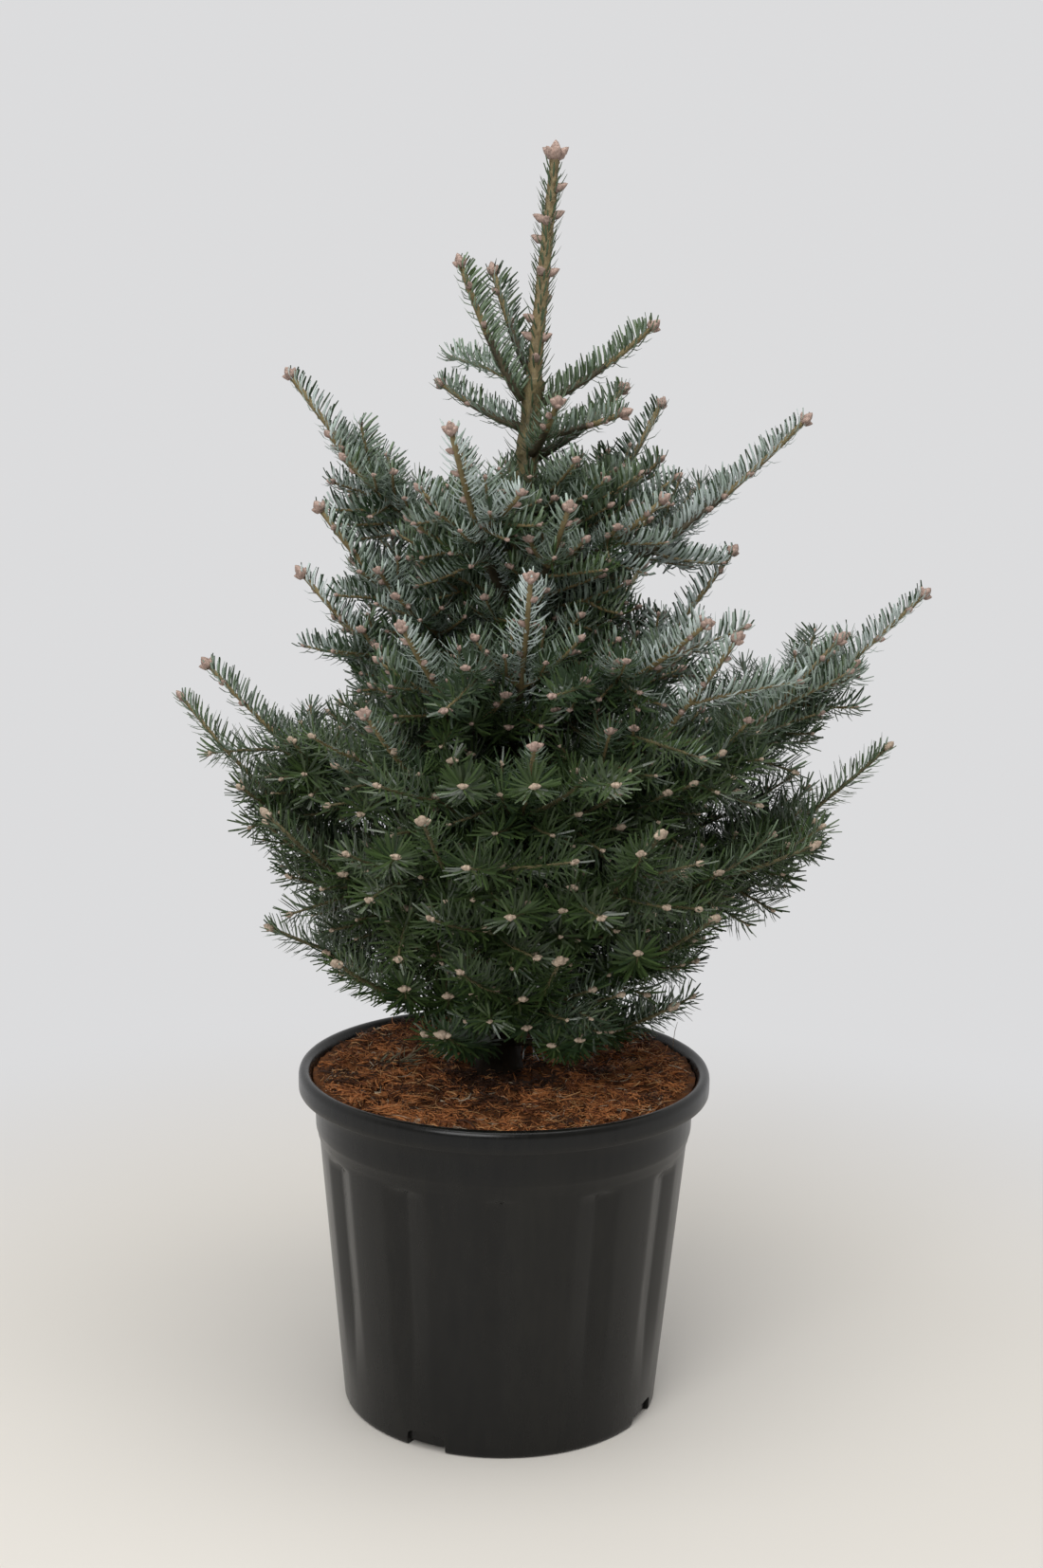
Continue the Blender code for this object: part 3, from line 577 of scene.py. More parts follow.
# six tones of needle from the dark foot of the crown to its silvery top: upper side, then the banded underside. The
# darker tones are partly painted shade, shaded copies of the needle's colours for the low and inner crown, while the
# silvery undersides are the needle's own.
needleTones = (
    ((0.015, 0.028, 0.008), (0.042, 0.064, 0.030)),
    ((0.029, 0.050, 0.014), (0.080, 0.116, 0.062)),
    ((0.045, 0.076, 0.022), (0.182, 0.245, 0.155)),
    ((0.022, 0.042, 0.016), (0.265, 0.336, 0.264)),
    ((0.024, 0.044, 0.018), (0.390, 0.474, 0.408)),
    ((0.026, 0.045, 0.023), (0.560, 0.640, 0.605)),
)
needlePaint = []
for k, (upper, under) in enumerate(needleTones):
    needlePaint.append(plainMaterial(f"needleUpper{k + 1}", upper, 0.28, 0.42))
    needlePaint.append(plainMaterial(f"needleUnder{k + 1}", under, 0.58, 0.26))
young, old = dict(low=0.3, high=0.7), dict(bump=0.8, depth=0.002)
scaly = dict(rough=(0.40, 0.65), bump=0.6, depth=0.0008)
youngBark = mottledMaterial("youngBark", (0.105, 0.078, 0.030), (0.235, 0.185, 0.085), 160, **young)
lowBark = mottledMaterial("lowBark", (0.050, 0.044, 0.018), (0.150, 0.125, 0.056), 160, **young)
oldBark = mottledMaterial("oldBark", (0.024, 0.018, 0.010), (0.100, 0.082, 0.044), 75, (1, 1, 0.35), **old)
# painted shade: the trunk's foot under the low crown takes this near-black copy of the old bark, with little specular
shadedFootBark = mottledMaterial("shadedFootBark", (0.008, 0.006, 0.004), (0.026, 0.018, 0.011), 75, (1, 1, 0.35),
                           specular=0.08, **old)
midBark = mottledMaterial("midBark", (0.042, 0.034, 0.014), (0.170, 0.136, 0.060), 150, (1, 1, 0.5), **old)
leaderBark = mottledMaterial("leaderBark", (0.095, 0.068, 0.030), (0.275, 0.215, 0.110), 240, low=0.3, high=0.68,
                             bump=0.7)
budScales = mottledMaterial("budScales", (0.150, 0.095, 0.072), (0.440, 0.315, 0.260), 420, low=0.30, high=0.62,
                            **scaly)
paleBuds = mottledMaterial("paleBuds", (0.200, 0.130, 0.090), (0.500, 0.400, 0.300), 420, low=0.28, high=0.60,
                           **scaly)
# widths low and high in the crown; blade has the shares of the width at the foot, the keel there and the tip
needleShape = dict(lowWidth=0.00182, highWidth=0.00215, keel=0.00055, knee=0.52, blade=(0.45, 0.8, 0.62),
                   length=0.0234, lessHigh=0.0046, most=15500)


goldenAngle = 2.39996


def smooth01(x):
    # 3 x^2 - 2 x^3 between 0 and 1
    x = np.clip(x, 0, 1)
    return x * x * (3 - 2 * x)

def shootTable(group):
    # what each shoot's needles are like: silvery and swept up high in the crown, star-like and green below
    draw = np.random.default_rng(len(group) + 5)
    paths = np.array([[list(p) for p in s["path"]] for s in group])
    length, order, bare = (np.array([s[key] for s in group]) for key in ("length", "order", "bare"))
    tip = paths[:, 2]
    high = smooth01((tip[:, 2] - 0.52) / 0.20)
    reach = np.hypot(tip[:, 0], tip[:, 1])
    depth = np.maximum(smooth01((reach - 0.05) / 0.13), smooth01((tip[:, 2] - 0.78) / 0.06) * 0.32)
    spread = draw.normal(0, 1, len(group)) * (0.42 + 0.25 * high)
    # painted shade: the tone rises with height and with depth, how far out the shoot reaches, so that low and inner
    # shoots take the dark, shaded tones; spread is each shoot's own random difference; shoots with tips below 0.41
    # are lifted 1.2 tones as painted light bounced up from the floor
    tone = 0.2 + 3.6 * high * (0.45 + 0.55 * depth) + 1.15 * depth + spread + (tip[:, 2] < 0.41) * 1.2
    upright = np.clip((unit(tip - paths[:, 0])[:, 2] - 0.75) / 0.2, 0, 1)
    dense = np.maximum(0.55 + 0.45 * smooth01((reach - 0.07) / 0.08), high)
    return dict(paths=paths, high=high, length=length, order=order, bare=bare, upright=upright, dense=dense,
                tone=np.clip(np.round(tone), 0, len(needleTones) - 1).astype(int))


def needleBlade(foot, knee, tip, across, acrossTip, topSide, half, keel, blade):
    # eight points: keeled at the foot and the knee, flat at the tip; blade gives the shares at foot, keel and tip
    wide, deep, end = blade
    return np.stack((
        foot - across * half * wide, foot + across * half * wide, foot - topSide * keel * deep,
        knee - across * half, knee + across * half, knee - topSide * keel,
        tip - acrossTip * half * end, tip + acrossTip * half * end), 1)


needleQuads = np.array(((0, 1, 4, 3), (1, 2, 5, 4), (2, 0, 3, 5), (3, 4, 7, 6)))
needleTris = np.array(((0, 2, 1), (4, 5, 7), (5, 3, 6), (5, 6, 7)))


def needleFaces(count):
    # four quads and four triangles on each needle's eight points
    start = np.arange(count)[:, None, None] * 8
    corners = np.concatenate(((start + needleQuads).ravel(), (start + needleTris).ravel()))
    return corners, np.concatenate((np.full(count * 4, 4), np.full(count * 4, 3)))


def needlePoints(table, perMetre, seed):
    # needles stand off each shoot at p(t) + radius * r, with r turning by the golden angle and drawn up from below;
    # their way is w cos(lean) + r sin(lean) + lift * up, bent once at the knee; the flat side faces up and ahead
    draw = np.random.default_rng(seed)
    first = np.maximum(table["bare"], 0.05)
    counts = np.maximum(6, (table["length"] * (1 - first) * table["dense"] * perMetre).astype(int))
    shoot = np.repeat(np.arange(len(counts)), counts)
    total = len(shoot)
    k = np.arange(total) - np.repeat(np.cumsum(counts) - counts, counts)
    share = (k + draw.uniform(0.3, 0.7, total)) / counts[shoot]
    t = first[shoot] + (0.995 - first[shoot]) * share
    high = table["high"][shoot]
    paths = table["paths"][shoot]
    point, way = curves(paths, t[:, None])
    point, way = point[:, 0], way[:, 0]
    up, side = frames(point, way)
    turn = (k * goldenAngle + draw.normal(0, 0.10, total) + math.pi) % (2 * math.pi) - math.pi
    gather = 0.92 - 0.20 * high
    gather = gather + (1 - gather) * table["upright"][shoot] * 0.6
    stray = draw.random(total) < 0.16
    turn = turn * np.where(stray, 1.0, gather)
    below = smooth01((np.abs(turn) - 1.9) / 0.9)
    near = smooth01((t - 0.86) / 0.14)
    lean = np.radians(64 - 4 * high + draw.normal(0, 4, total)) * (1 - 0.40 * near)
    ring = up * np.cos(turn)[:, None] + side * np.sin(turn)[:, None]
    ahead = way * np.cos(lean)[:, None] + ring * np.sin(lean)[:, None]
    stray = draw.normal(0, 1, (total, 3)) * (0.062 - 0.020 * high)[:, None]
    ahead = unit(ahead + up * (0.04 + 0.16 * high)[:, None] + stray)
    bent = unit(ahead + up * (0.08 + 0.40 * high)[:, None] + way * 0.10)
    size = (needleShape["length"] - needleShape["lessHigh"] * high) * draw.uniform(0.80, 1.10, total)
    size = size * (1 - 0.35 * near) * (1 - 0.25 * below) * np.where(table["order"][shoot] == 3, 0.94, 1.0)
    flat = way * (1.05 - 0.55 * high)[:, None] + up * (0.35 + 0.55 * high)[:, None]
    topSide = unit(flat - ahead * dot(flat, ahead))
    across, acrossTip = np.cross(ahead, topSide), np.cross(bent, unit(flat - bent * dot(flat, bent)))
    width = (needleShape["lowWidth"] * (1 - high) + needleShape["highWidth"] * high) * draw.uniform(0.80, 1.12, total)
    foot = point + ring * 0.0012
    knee = foot + ahead * (size * needleShape["knee"])[:, None]
    tip = knee + bent * (size * (1 - needleShape["knee"]))[:, None]
    half = (width / 2)[:, None]
    return needleBlade(foot, knee, tip, across, acrossTip, topSide, half, needleShape["keel"],
                       needleShape["blade"]), shoot


def makeNeedles(name, group, slotName, nodes, perMetre, seed):
    # the layer's needles in pieces of under 200,000 triangles; each has its shoot's tone or the next one to it
    table = shootTable(group)
    points, shoot = needlePoints(table, perMetre, seed)
    own = np.random.default_rng(seed + 900).choice((-1, 0, 1), len(points), p=(0.22, 0.56, 0.22))
    tones = np.clip(table["tone"][shoot] + own, 0, len(needleTones) - 1) * 2
    parts = math.ceil(len(points) / needleShape["most"])
    for part, chosen in enumerate(np.array_split(np.arange(len(points)), parts)):
        tone = tones[chosen][:, None]
        picks = np.concatenate(((tone + np.array((0, 1, 1, 0))).ravel(), np.repeat(tone + 1, 4)))
        makePiece(f"needles_{name}_{part + 1}", points[chosen], *needleFaces(len(chosen)), needlePaint, slotName,
                  nodes, picks, smooth=False)
    return len(points)

budShape = dict(shares=(-0.20, 0.10, 0.36, 0.62, 0.84), girths=(0.55, 0.90, 1.00, 0.76, 0.40), sides=7)


def budPoints(feet, ways, lengths, radii):
    # an egg on a foot: rings of radius * girth at the shares of its length, with blunt scales, closed by a point
    feet, ways = np.asarray(feet), unit(np.asarray(ways))
    lengths, radii = np.asarray(lengths), np.asarray(radii)
    helper = np.where(np.abs(ways[:, 2:3]) > 0.9, np.array((1.0, 0, 0)), np.array((0, 0, 1.0)))
    side = unit(np.cross(ways, helper))
    up = np.cross(side, ways)
    shares, girths, sides = np.array(budShape["shares"]), np.array(budShape["girths"]), budShape["sides"]
    angle = np.arange(sides)[None, :] * 2 * math.pi / sides + np.arange(len(shares))[:, None] * math.pi / sides
    scales = 1 + 0.10 * np.cos(angle * 3 + np.arange(len(shares))[:, None] * 2)
    ring = side[:, None, None] * np.cos(angle)[..., None] + up[:, None, None] * np.sin(angle)[..., None]
    centre = feet[:, None, None] + ways[:, None, None] * (shares[:, None] * lengths[:, None, None])[..., None]
    rings = centre + ring * (girths[:, None] * scales * radii[:, None, None])[..., None]
    tips = feet + ways * lengths[:, None]
    count = len(feet)
    points = np.concatenate((rings.reshape(count, -1, 3), tips[:, None]), 1)
    each, rows = points.shape[1], len(shares)
    start = np.arange(count)[:, None, None] * each
    row = np.arange(rows - 1)[:, None] * sides
    k = np.arange(sides)[None, :]
    a, b = row + k, row + (k + 1) % sides
    quads = (start + np.stack((a, b, b + sides, a + sides), -1).reshape(1, -1, 4)).reshape(-1, 4)
    last = (rows - 1) * sides
    tris = np.stack((last + k[0], last + (k[0] + 1) % sides, np.full(sides, each - 1)), -1)
    tris = (start + tris[None]).reshape(-1, 3)
    caps = (start[:, :, 0] + np.arange(sides)[::-1][None]).reshape(-1)
    corners = np.concatenate((quads.ravel(), tris.ravel(), caps))
    sizes = np.concatenate((np.full(len(quads), 4), np.full(len(tris), 3), np.full(count, sides)))
    return points, corners, sizes


def budsOf(group, seed):
    # a cluster at each shoot's tip, spread to its sides, and pairs down the strong shoots of the upper crown
    draw = random.Random(seed)
    feet, ways, lengths, radii = [], [], [], []

    def put(foot, way, length, radius):
        feet.append(tuple(foot))
        ways.append(tuple(way))
        lengths.append(length * draw.uniform(0.88, 1.12))
        radii.append(radius * draw.uniform(0.9, 1.1))

    for shoot in group:
        path = shoot["path"]
        tip, way = path[2], curveWay(path, 1)
        side = way.cross(Vector((0, 0, 1))).normalized()
        up = side.cross(way)
        high = tip.z > 0.62
        strong = {0: 1.18, 1: 0.86, 2: 0.74, 3: 0.46}[shoot["order"]] * (1.0 if high else 0.90)
        put(tip - way * 0.001, way, 0.0078 * strong, 0.0032 * strong + 0.0003)
        for hand in (-1, 1):
            if shoot["order"] == 3 and draw.random() < 0.35:
                continue
            lean = (way * (0.62 if high else 0.34) + side * hand * 0.80 + up * draw.uniform(-0.15, 0.25)).normalized()
            put(tip - way * 0.0015, lean, 0.0074 * strong, 0.0027 * strong + 0.0003)
        if shoot["order"] == 0 and high:
            for hand in (-1, 1):
                put(tip - way * 0.002, (way * 0.6 + up * hand * 0.8).normalized(), 0.0080, 0.0031)
        if shoot["order"] < 2 and high:
            back = 0.016
            while back < min(0.42 * shoot["length"], 0.11):
                t = 1 - back / shoot["length"]
                hand = draw.choice((-1, 1))
                here = curveWay(path, t)
                lean = (here * 0.6 + side * hand * 0.75 + up * draw.uniform(-0.5, 0.1)).normalized()
                put(curveAt(path, t) + side * hand * 0.0018, lean, 0.0070, 0.0028)
                back += draw.uniform(0.012, 0.030)
    return budPoints(feet, ways, lengths, radii)


def makeBuds(name, points, corners, sizes, slotName, nodes):
    # grey-pink buds high up, paler ones below: each bud takes its paint by the height of its first point
    sides = budShape["sides"]
    pale = (points[:, 0, 2] < 0.60).astype(int)
    picks = np.concatenate((np.repeat(pale, (len(budShape["shares"]) - 1) * sides), np.repeat(pale, sides), pale))
    makePiece(name, points, corners, sizes, [budScales, paleBuds], slotName, nodes, picks)


twigLook = dict(rings=8, sides=6, oldShare=0.5, lowBelow=0.60)


def makeTwigs(name, group, slotName, nodes, seed):
    # tubes that thin towards their tips and are stouter high up; a limb has old bark over its first half
    rings, sides = twigLook["rings"], twigLook["sides"]
    paths = np.array([[list(p) for p in s["path"]] for s in group])
    bare, length, order = (np.array([s[key] for s in group])[:, None] for key in ("bare", "length", "order"))
    share = bare + (1 - bare) * np.linspace(0, 1, rings)[None, :]
    thick = plant["twigRadius"] + (plant["limbRadius"] - plant["twigRadius"]) * np.minimum(1, length / 0.30)
    radii = thick + (plant["twigRadius"] - thick) * np.minimum(1, share / 0.75)
    high = smooth01((paths[:, 2, 2:3] - 0.60) / 0.20)
    stout = np.where(order == 0, 1.0 + 0.30 * high, np.where(order == 1, 0.80 + 0.15 * high, 0.62))
    radii = radii * stout * (1 - (0.25 - 0.12 * high) * share)
    old = np.arange(rings - 1)[None, :] / rings < np.where(order == 0, twigLook["oldShare"], 0.0)
    low = np.repeat((paths[:, 2, 2] < twigLook["lowBelow"]) * 2, (rings - 1) * sides)
    picks = np.concatenate((np.where(np.repeat(old.ravel(), sides), 1, low), np.zeros(2 * len(group), dtype=int)))
    makePiece(f"twigs_{name}", tubes(paths, radii, rings, sides, seed, shares=share),
              *tubeFaces(len(group), rings, sides), [youngBark, oldBark, lowBark], slotName, nodes, picks)


# needles on a metre of shoot, and the shares of them on the silvery layers and on the two at the top
shootWay = dict(perMetre=1330, silverShare=0.84, topShare=0.96,
                silver=("crown", "collar", "upper", "between", "middle"))
needleCount = 0
for number, name in enumerate(layers):
    group = [s for s in shoots if s["layer"] == name]
    nodes = [f"{name}_{i + 1}_spray" for i in range(len(layers[name]["limbs"]))]
    silver = name in shootWay["silver"]
    slotName = "silver_needles" if silver else "green_needles"
    share = shootWay["topShare" if name in unbranched else "silverShare"] if silver else 1.0
    made = makeNeedles(name, group, slotName, nodes, shootWay["perMetre"] * share, 100 + number)
    makeTwigs(name, group, slotName, nodes, 200 + number)
    makeBuds(f"buds_{name}", *budsOf(group, 300 + number), slotName, nodes)
    needleCount += made
    say(f"{name}: {len(group)} shoots, {made} needles")
say(f"{needleCount} needles")


trunkLook = dict(rings=420, sides=40, relief=0.0009, lumps=0.0008, swelling=0.0016, shadedFootTop=0.40, oldTop=0.61)
boughLook = dict(rings=40, sides=20, more=0.004, swelling=0.35, swellingReach=0.03)


def makeTrunk():
    # radius(z) of the source, with long furrows, resin blisters and a swelling where each layer leaves
    heights = np.linspace(plant["soilTop"] - 0.004, plant["leaderTop"], trunkLook["rings"])
    centre = np.array([list(trunkCentre(max(z, plant["soilTop"]))) for z in heights])
    centre[:, 2] = heights
    radius = np.array([trunkRadius(max(z, plant["soilTop"])) for z in heights])
    angle = np.arange(trunkLook["sides"]) * 2 * math.pi / trunkLook["sides"]
    ring = around(angle, 1.0, 0.0)
    points = centre[:, None] + ring[None] * radius[:, None, None]
    furrow = ripple(points * np.array((1, 1, 0.22)), 0.009, 11) * 0.6 + ripple(points, 0.0045, 12) * 0.4
    blister = np.maximum(ripple(points, 0.012, 13) - 0.55, 0) * 2
    collar = sum(np.exp(-((heights - layer["foot"]) / 0.010) ** 2) for layer in layers.values())
    young = smooth01((heights - plant["leaderFoot"]) / 0.02)
    scar = np.maximum(ripple(points, 0.0052, 14) - 0.2, 0) * 0.0010
    relief = (furrow * trunkLook["relief"] + blister * trunkLook["lumps"]) * (1 - 0.65 * young)[:, None]
    radii = radius[:, None] + (relief + scar * young[:, None]) + (collar * trunkLook["swelling"])[:, None] - 0.0004
    points = centre[:, None] + ring[None] * radii[..., None]
    # bark in bands up the trunk: below 0.40 the near-black foot bark is painted shade, then old, mid and leader bark
    bands = (trunkLook["shadedFootTop"], trunkLook["oldTop"], plant["leaderFoot"])
    which = sum((heights[:-1] > top).astype(int) for top in bands)
    picks = np.concatenate((np.repeat(which, trunkLook["sides"]), (0, 3)))
    makePiece("trunk_bark", points, *tubeFaces(1, trunkLook["rings"], trunkLook["sides"]),
              [shadedFootBark, oldBark, midBark, leaderBark], "bark", ["trunk"], picks)


def makeBoughs():
    # the bare first part of seven limbs, swollen where it leaves the trunk
    rings, sides = boughLook["rings"], boughLook["sides"]
    boughs = [limb for limb in limbs if limb["bare"]]
    paths = np.array([[list(p) for p in limb["path"]] for limb in boughs])
    share = np.linspace(0, plant["boughShare"] + boughLook["more"], rings)[None, :] * np.ones((len(boughs), 1))
    radii = np.array([[limbRadius(limb["length"], t) for t in row] for limb, row in zip(boughs, share)])
    radii = radii * (1 + boughLook["swelling"] * np.exp(-share / boughLook["swellingReach"]))
    points = tubes(paths, radii, rings, sides, 21, rough=0.09, shares=share)
    makePiece("bough_bark", points, *tubeFaces(len(boughs), rings, sides), [oldBark], "bark",
              [limb["name"] + "_bough" for limb in boughs])


def makeLeader():
    # buds in pairs up the leader, a crown of them at its top, and short needles pressed upwards
    top = trunkCentre(plant["leaderTop"]) - Vector((0, 0, 0.004))
    buds = [(top + Vector((0, 0, 0.002)), Vector((0, 0, 1)), 0.0125, 0.0050)]
    buds += [(top, outward(60 * k + 15) * 0.78 + Vector((0, 0, 0.62)), 0.0140, 0.0044) for k in range(6)]
    buds += [(trunkCentre(z) + outward(azimuth) * trunkRadius(z) * 0.5, outward(azimuth) + Vector((0, 0, 0.45)),
              0.0118, 0.0038) for z, azimuth in leaderBuds]
    feet, ways, lengths, radii = zip(*buds)
    points, corners, sizes = budPoints([tuple(f) for f in feet], [tuple(w) for w in ways], lengths, radii)
    makePiece("leader_buds", points, corners, sizes, [budScales], "bark", ["trunk"])
    draw = np.random.default_rng(77)
    count = 260
    z = np.linspace(plant["leaderFoot"] - 0.070, plant["leaderTop"] - 0.014, count)
    ring = around(np.arange(count) * goldenAngle + draw.normal(0, 0.2, count), 1.0, 0.0)
    foot = np.array([list(trunkCentre(h)) for h in z]) + ring * np.array([trunkRadius(h) for h in z])[:, None] * 0.9
    upward = np.array((0, 0, 1.0))
    low = (1 - smooth01((z - plant["leaderFoot"]) / 0.03))[:, None]
    ahead = unit(upward + ring * (draw.uniform(0.55, 1.10, (count, 1)) + low * 0.5))
    bent = unit(ahead + upward * 0.35)
    size = draw.uniform(0.0085, 0.0150, count)[:, None] * (1 + 0.45 * low)
    inner = unit(-ring + ahead * dot(ring, ahead))
    across, acrossTip = np.cross(ahead, inner), np.cross(bent, unit(-ring + bent * dot(ring, bent)))
    knee = foot + ahead * size * 0.5
    points = needleBlade(foot, knee, knee + bent * size * 0.5, across, acrossTip, inner, 0.00085, 0.0005,
                         (0.6, 1.0, 0.5))
    picks = np.concatenate((np.tile((4, 3, 3, 4), count), np.full(count * 4, 3)))
    makePiece("leader_needles", points, *needleFaces(count), needlePaint, "bark", ["trunk"], picks, smooth=False)


makeTrunk()
makeBoughs()

makeLeader()
say("trunk, boughs and leader")


pot = dict(height=0.2928, rim=0.1749, skirt=0.0183, band=0.1610, bandFoot=0.2420, body=0.1570, bodyTop=0.2330,
           base=0.1349, wall=0.003, floor=0.004, flutes=12, fluteDepth=0.0040, fluteTop=0.230, fluteFoot=0.020,
           fluteHalf=7.5, notches=(-26, 64, 154, 244), notchHalf=7.5, notchHeight=0.014, notchReach=0.027, sides=360)


def potBody(z):
    # the body's radius, straight from the base to its top
    return pot["base"] + (pot["body"] - pot["base"]) * z / pot["bodyTop"]


def makePot():
    # turned outline r(s), z(s); V-shaped flutes sink the body, and the foot is lifted over each drain notch
    rimFoot, top = pot["height"] - pot["skirt"], pot["height"]
    outline = [(0.010, 0), (0.060, 0), (pot["base"] - pot["notchReach"] - 0.0005, 0),
               (pot["base"] - pot["notchReach"], 0), (pot["base"] - 0.012, 0), (pot["base"] - 0.0016, 0),
               (pot["base"] - 0.0005, 0.0006), (potBody(0.0020), 0.0020), (potBody(0.0045), 0.0045),
               (potBody(0.009), 0.009), (potBody(0.014), 0.014)]
    outline += [(potBody(z), z) for z in np.linspace(0.018, 0.226, 40)]
    outline += [(potBody(0.2285), 0.2285), (pot["body"] - 0.0001, 0.2310), (pot["body"] + 0.0002, 0.2332),
                (pot["body"] + 0.0014, 0.2362), (pot["band"] - 0.0022, 0.2398), (pot["band"] - 0.0012, 0.2418),
                (pot["band"] - 0.0008, 0.2440), (pot["band"] - 0.0006, 0.2500), (pot["band"] - 0.0003, 0.2600),
                (pot["band"], rimFoot - 0.0030), (pot["band"] + 0.0006, rimFoot - 0.0014),
                (pot["band"] + 0.0022, rimFoot - 0.0007), (pot["rim"] - 0.0022, rimFoot - 0.0004),
                (pot["rim"] - 0.0008, rimFoot), (pot["rim"] - 0.0002, rimFoot + 0.0012),
                (pot["rim"], rimFoot + 0.0050), (pot["rim"], top - 0.0062), (pot["rim"] - 0.0003, top - 0.0040),
                (pot["rim"] - 0.0012, top - 0.0018), (pot["rim"] - 0.0026, top - 0.0005), (0.1703, top),
                (0.1686, top - 0.0004), (0.1668, top - 0.0015), (0.1655, top - 0.0032), (0.1640, top - 0.0070),
                (0.1612, 0.2800), (pot["band"] - pot["wall"], 0.2460), (pot["body"] - 0.0056, 0.2280),
                (pot["base"] - pot["wall"], pot["floor"]), (0.010, pot["floor"])]
    outline = np.array(outline)
    inside = np.arange(len(outline)) > len(outline) - 6
    angles = np.arange(pot["sides"]) * 360 / pot["sides"] - 180.0
    edges = [a + hand * (pot["notchHalf"] + e) for a in pot["notches"] for hand in (-1, 1)
             for e in (-0.02, 0.02, -0.5)]
    angles = np.unique(np.round(np.concatenate((angles, (np.array(edges) + 180) % 360 - 180)), 3))
    apart = np.abs((angles[:, None] - np.array(pot["notches"]) + 180) % 360 - 180).min(1) / pot["notchHalf"]
    lift = pot["notchHeight"] * np.where(apart < 1, (1 - np.clip(apart, 0, 1) ** 7) ** (1 / 5), 0)
    r, z = outline[:, 0][None, :] * np.ones((len(angles), 1)), outline[:, 1][None, :] * np.ones((len(angles), 1))
    order = np.arange(len(outline))[None, :]
    footPart = (order >= 3) & (order < 24) & (z < lift[:, None])
    z = np.where(footPart, lift[:, None] + order * 0.00001, z)
    r = np.where(footPart & (order >= 6), potBody(z), r)
    turn = 360 / pot["flutes"]
    offset = np.abs((angles + turn / 2) % turn - turn / 2) / pot["fluteHalf"]
    vee = np.clip(1 - offset, 0, 1)[:, None]
    vee = np.sqrt(vee ** 2 + 0.0004) - 0.02
    ends = smooth01((z - pot["fluteFoot"]) / 0.10) * smooth01((pot["fluteTop"] - z) / 0.0035)
    r = r - np.where(inside[None, :], 0, vee * ends * pot["fluteDepth"])
    warp = 1 + 0.0009 * np.cos(np.radians(angles * 2 + 40))[:, None] * z / pot["height"]
    r = r * warp
    points = around(np.radians(angles)[:, None], r, z)
    count, rows = r.shape
    i, k = np.arange(count)[:, None], np.arange(rows - 1)[None, :]
    here, there = i * rows + k, (i + 1) % count * rows + k
    quads = np.stack((here, there, there + 1, here + 1), -1).reshape(-1, 4)
    under, floor = np.arange(count)[::-1] * rows, np.arange(count) * rows + rows - 1
    corners = np.concatenate((quads.ravel(), under, floor))
    sizes = np.concatenate((np.full(len(quads), 4), (count, count)))
    piece = makePiece("pot_shell", points, corners, sizes, [potPlastic], "pot_plastic", ["pot"])
    piece.data.set_sharp_from_angle(angle=math.radians(38))


# black plastic: dust held in streaks, worn smoother in patches, faint mould grain
potPlastic = mottledMaterial("potPlastic", (0.0016, 0.0019, 0.0023), (0.0115, 0.0110, 0.0090), 9, (1, 1, 0.22),
                             fine=14, low=0.30, high=0.72, rough=(0.20, 0.36), bump=0.12, depth=0.0006, specular=0.29)
makePot()
say("pot")


soilLook = dict(reach=0.1628, edge=0.2862, top=0.2868, heap=0.0022, heapWay=160, rings=90, sides=220, fibres=9900,
                tufts=520, stray=0.20, chips=1500)


def soilHeight(x, y):
    # a low mound with lumps of two sizes
    r = np.hypot(x, y)
    mound = soilLook["edge"] + (soilLook["top"] - soilLook["edge"]) * (1 - smooth01(r / soilLook["reach"]))
    turn = math.radians(soilLook["heapWay"])
    back = 0.5 + 0.5 * (x * math.sin(turn) - y * math.cos(turn)) / np.maximum(r, 0.001)
    mound = mound + soilLook["heap"] * back * smooth01((r - 0.10) / 0.05)
    spot = np.stack((x, y, 0 * x), -1)
    lumps = ripple(spot, 0.036, 61) * 0.0030 + ripple(spot, 0.015, 62) * 0.0024 + ripple(spot, 0.006, 63) * 0.0010
    return mound + lumps * (1 - 0.5 * smooth01((r - 0.145) / 0.015)) - 0.0015


def makeSoil():
    # the top is a polar grid z(x, y); its skirt goes down inside the pot and is closed below
    rings, sides = soilLook["rings"], soilLook["sides"]
    angle = np.arange(sides) * 2 * math.pi / sides
    r = np.concatenate((np.linspace(0.001, 1, rings) * soilLook["reach"], (0.1596, 0.150)))
    points = around(angle, r[:, None], 0.0)
    points[..., 2] = soilHeight(points[..., 0], points[..., 1])
    points[rings:, :, 2] = np.array((0.276, 0.250))[:, None]
    makePiece("soil_bed", points, *tubeFaces(1, rings + 2, sides), [soilBase], "soil", ["soil"])


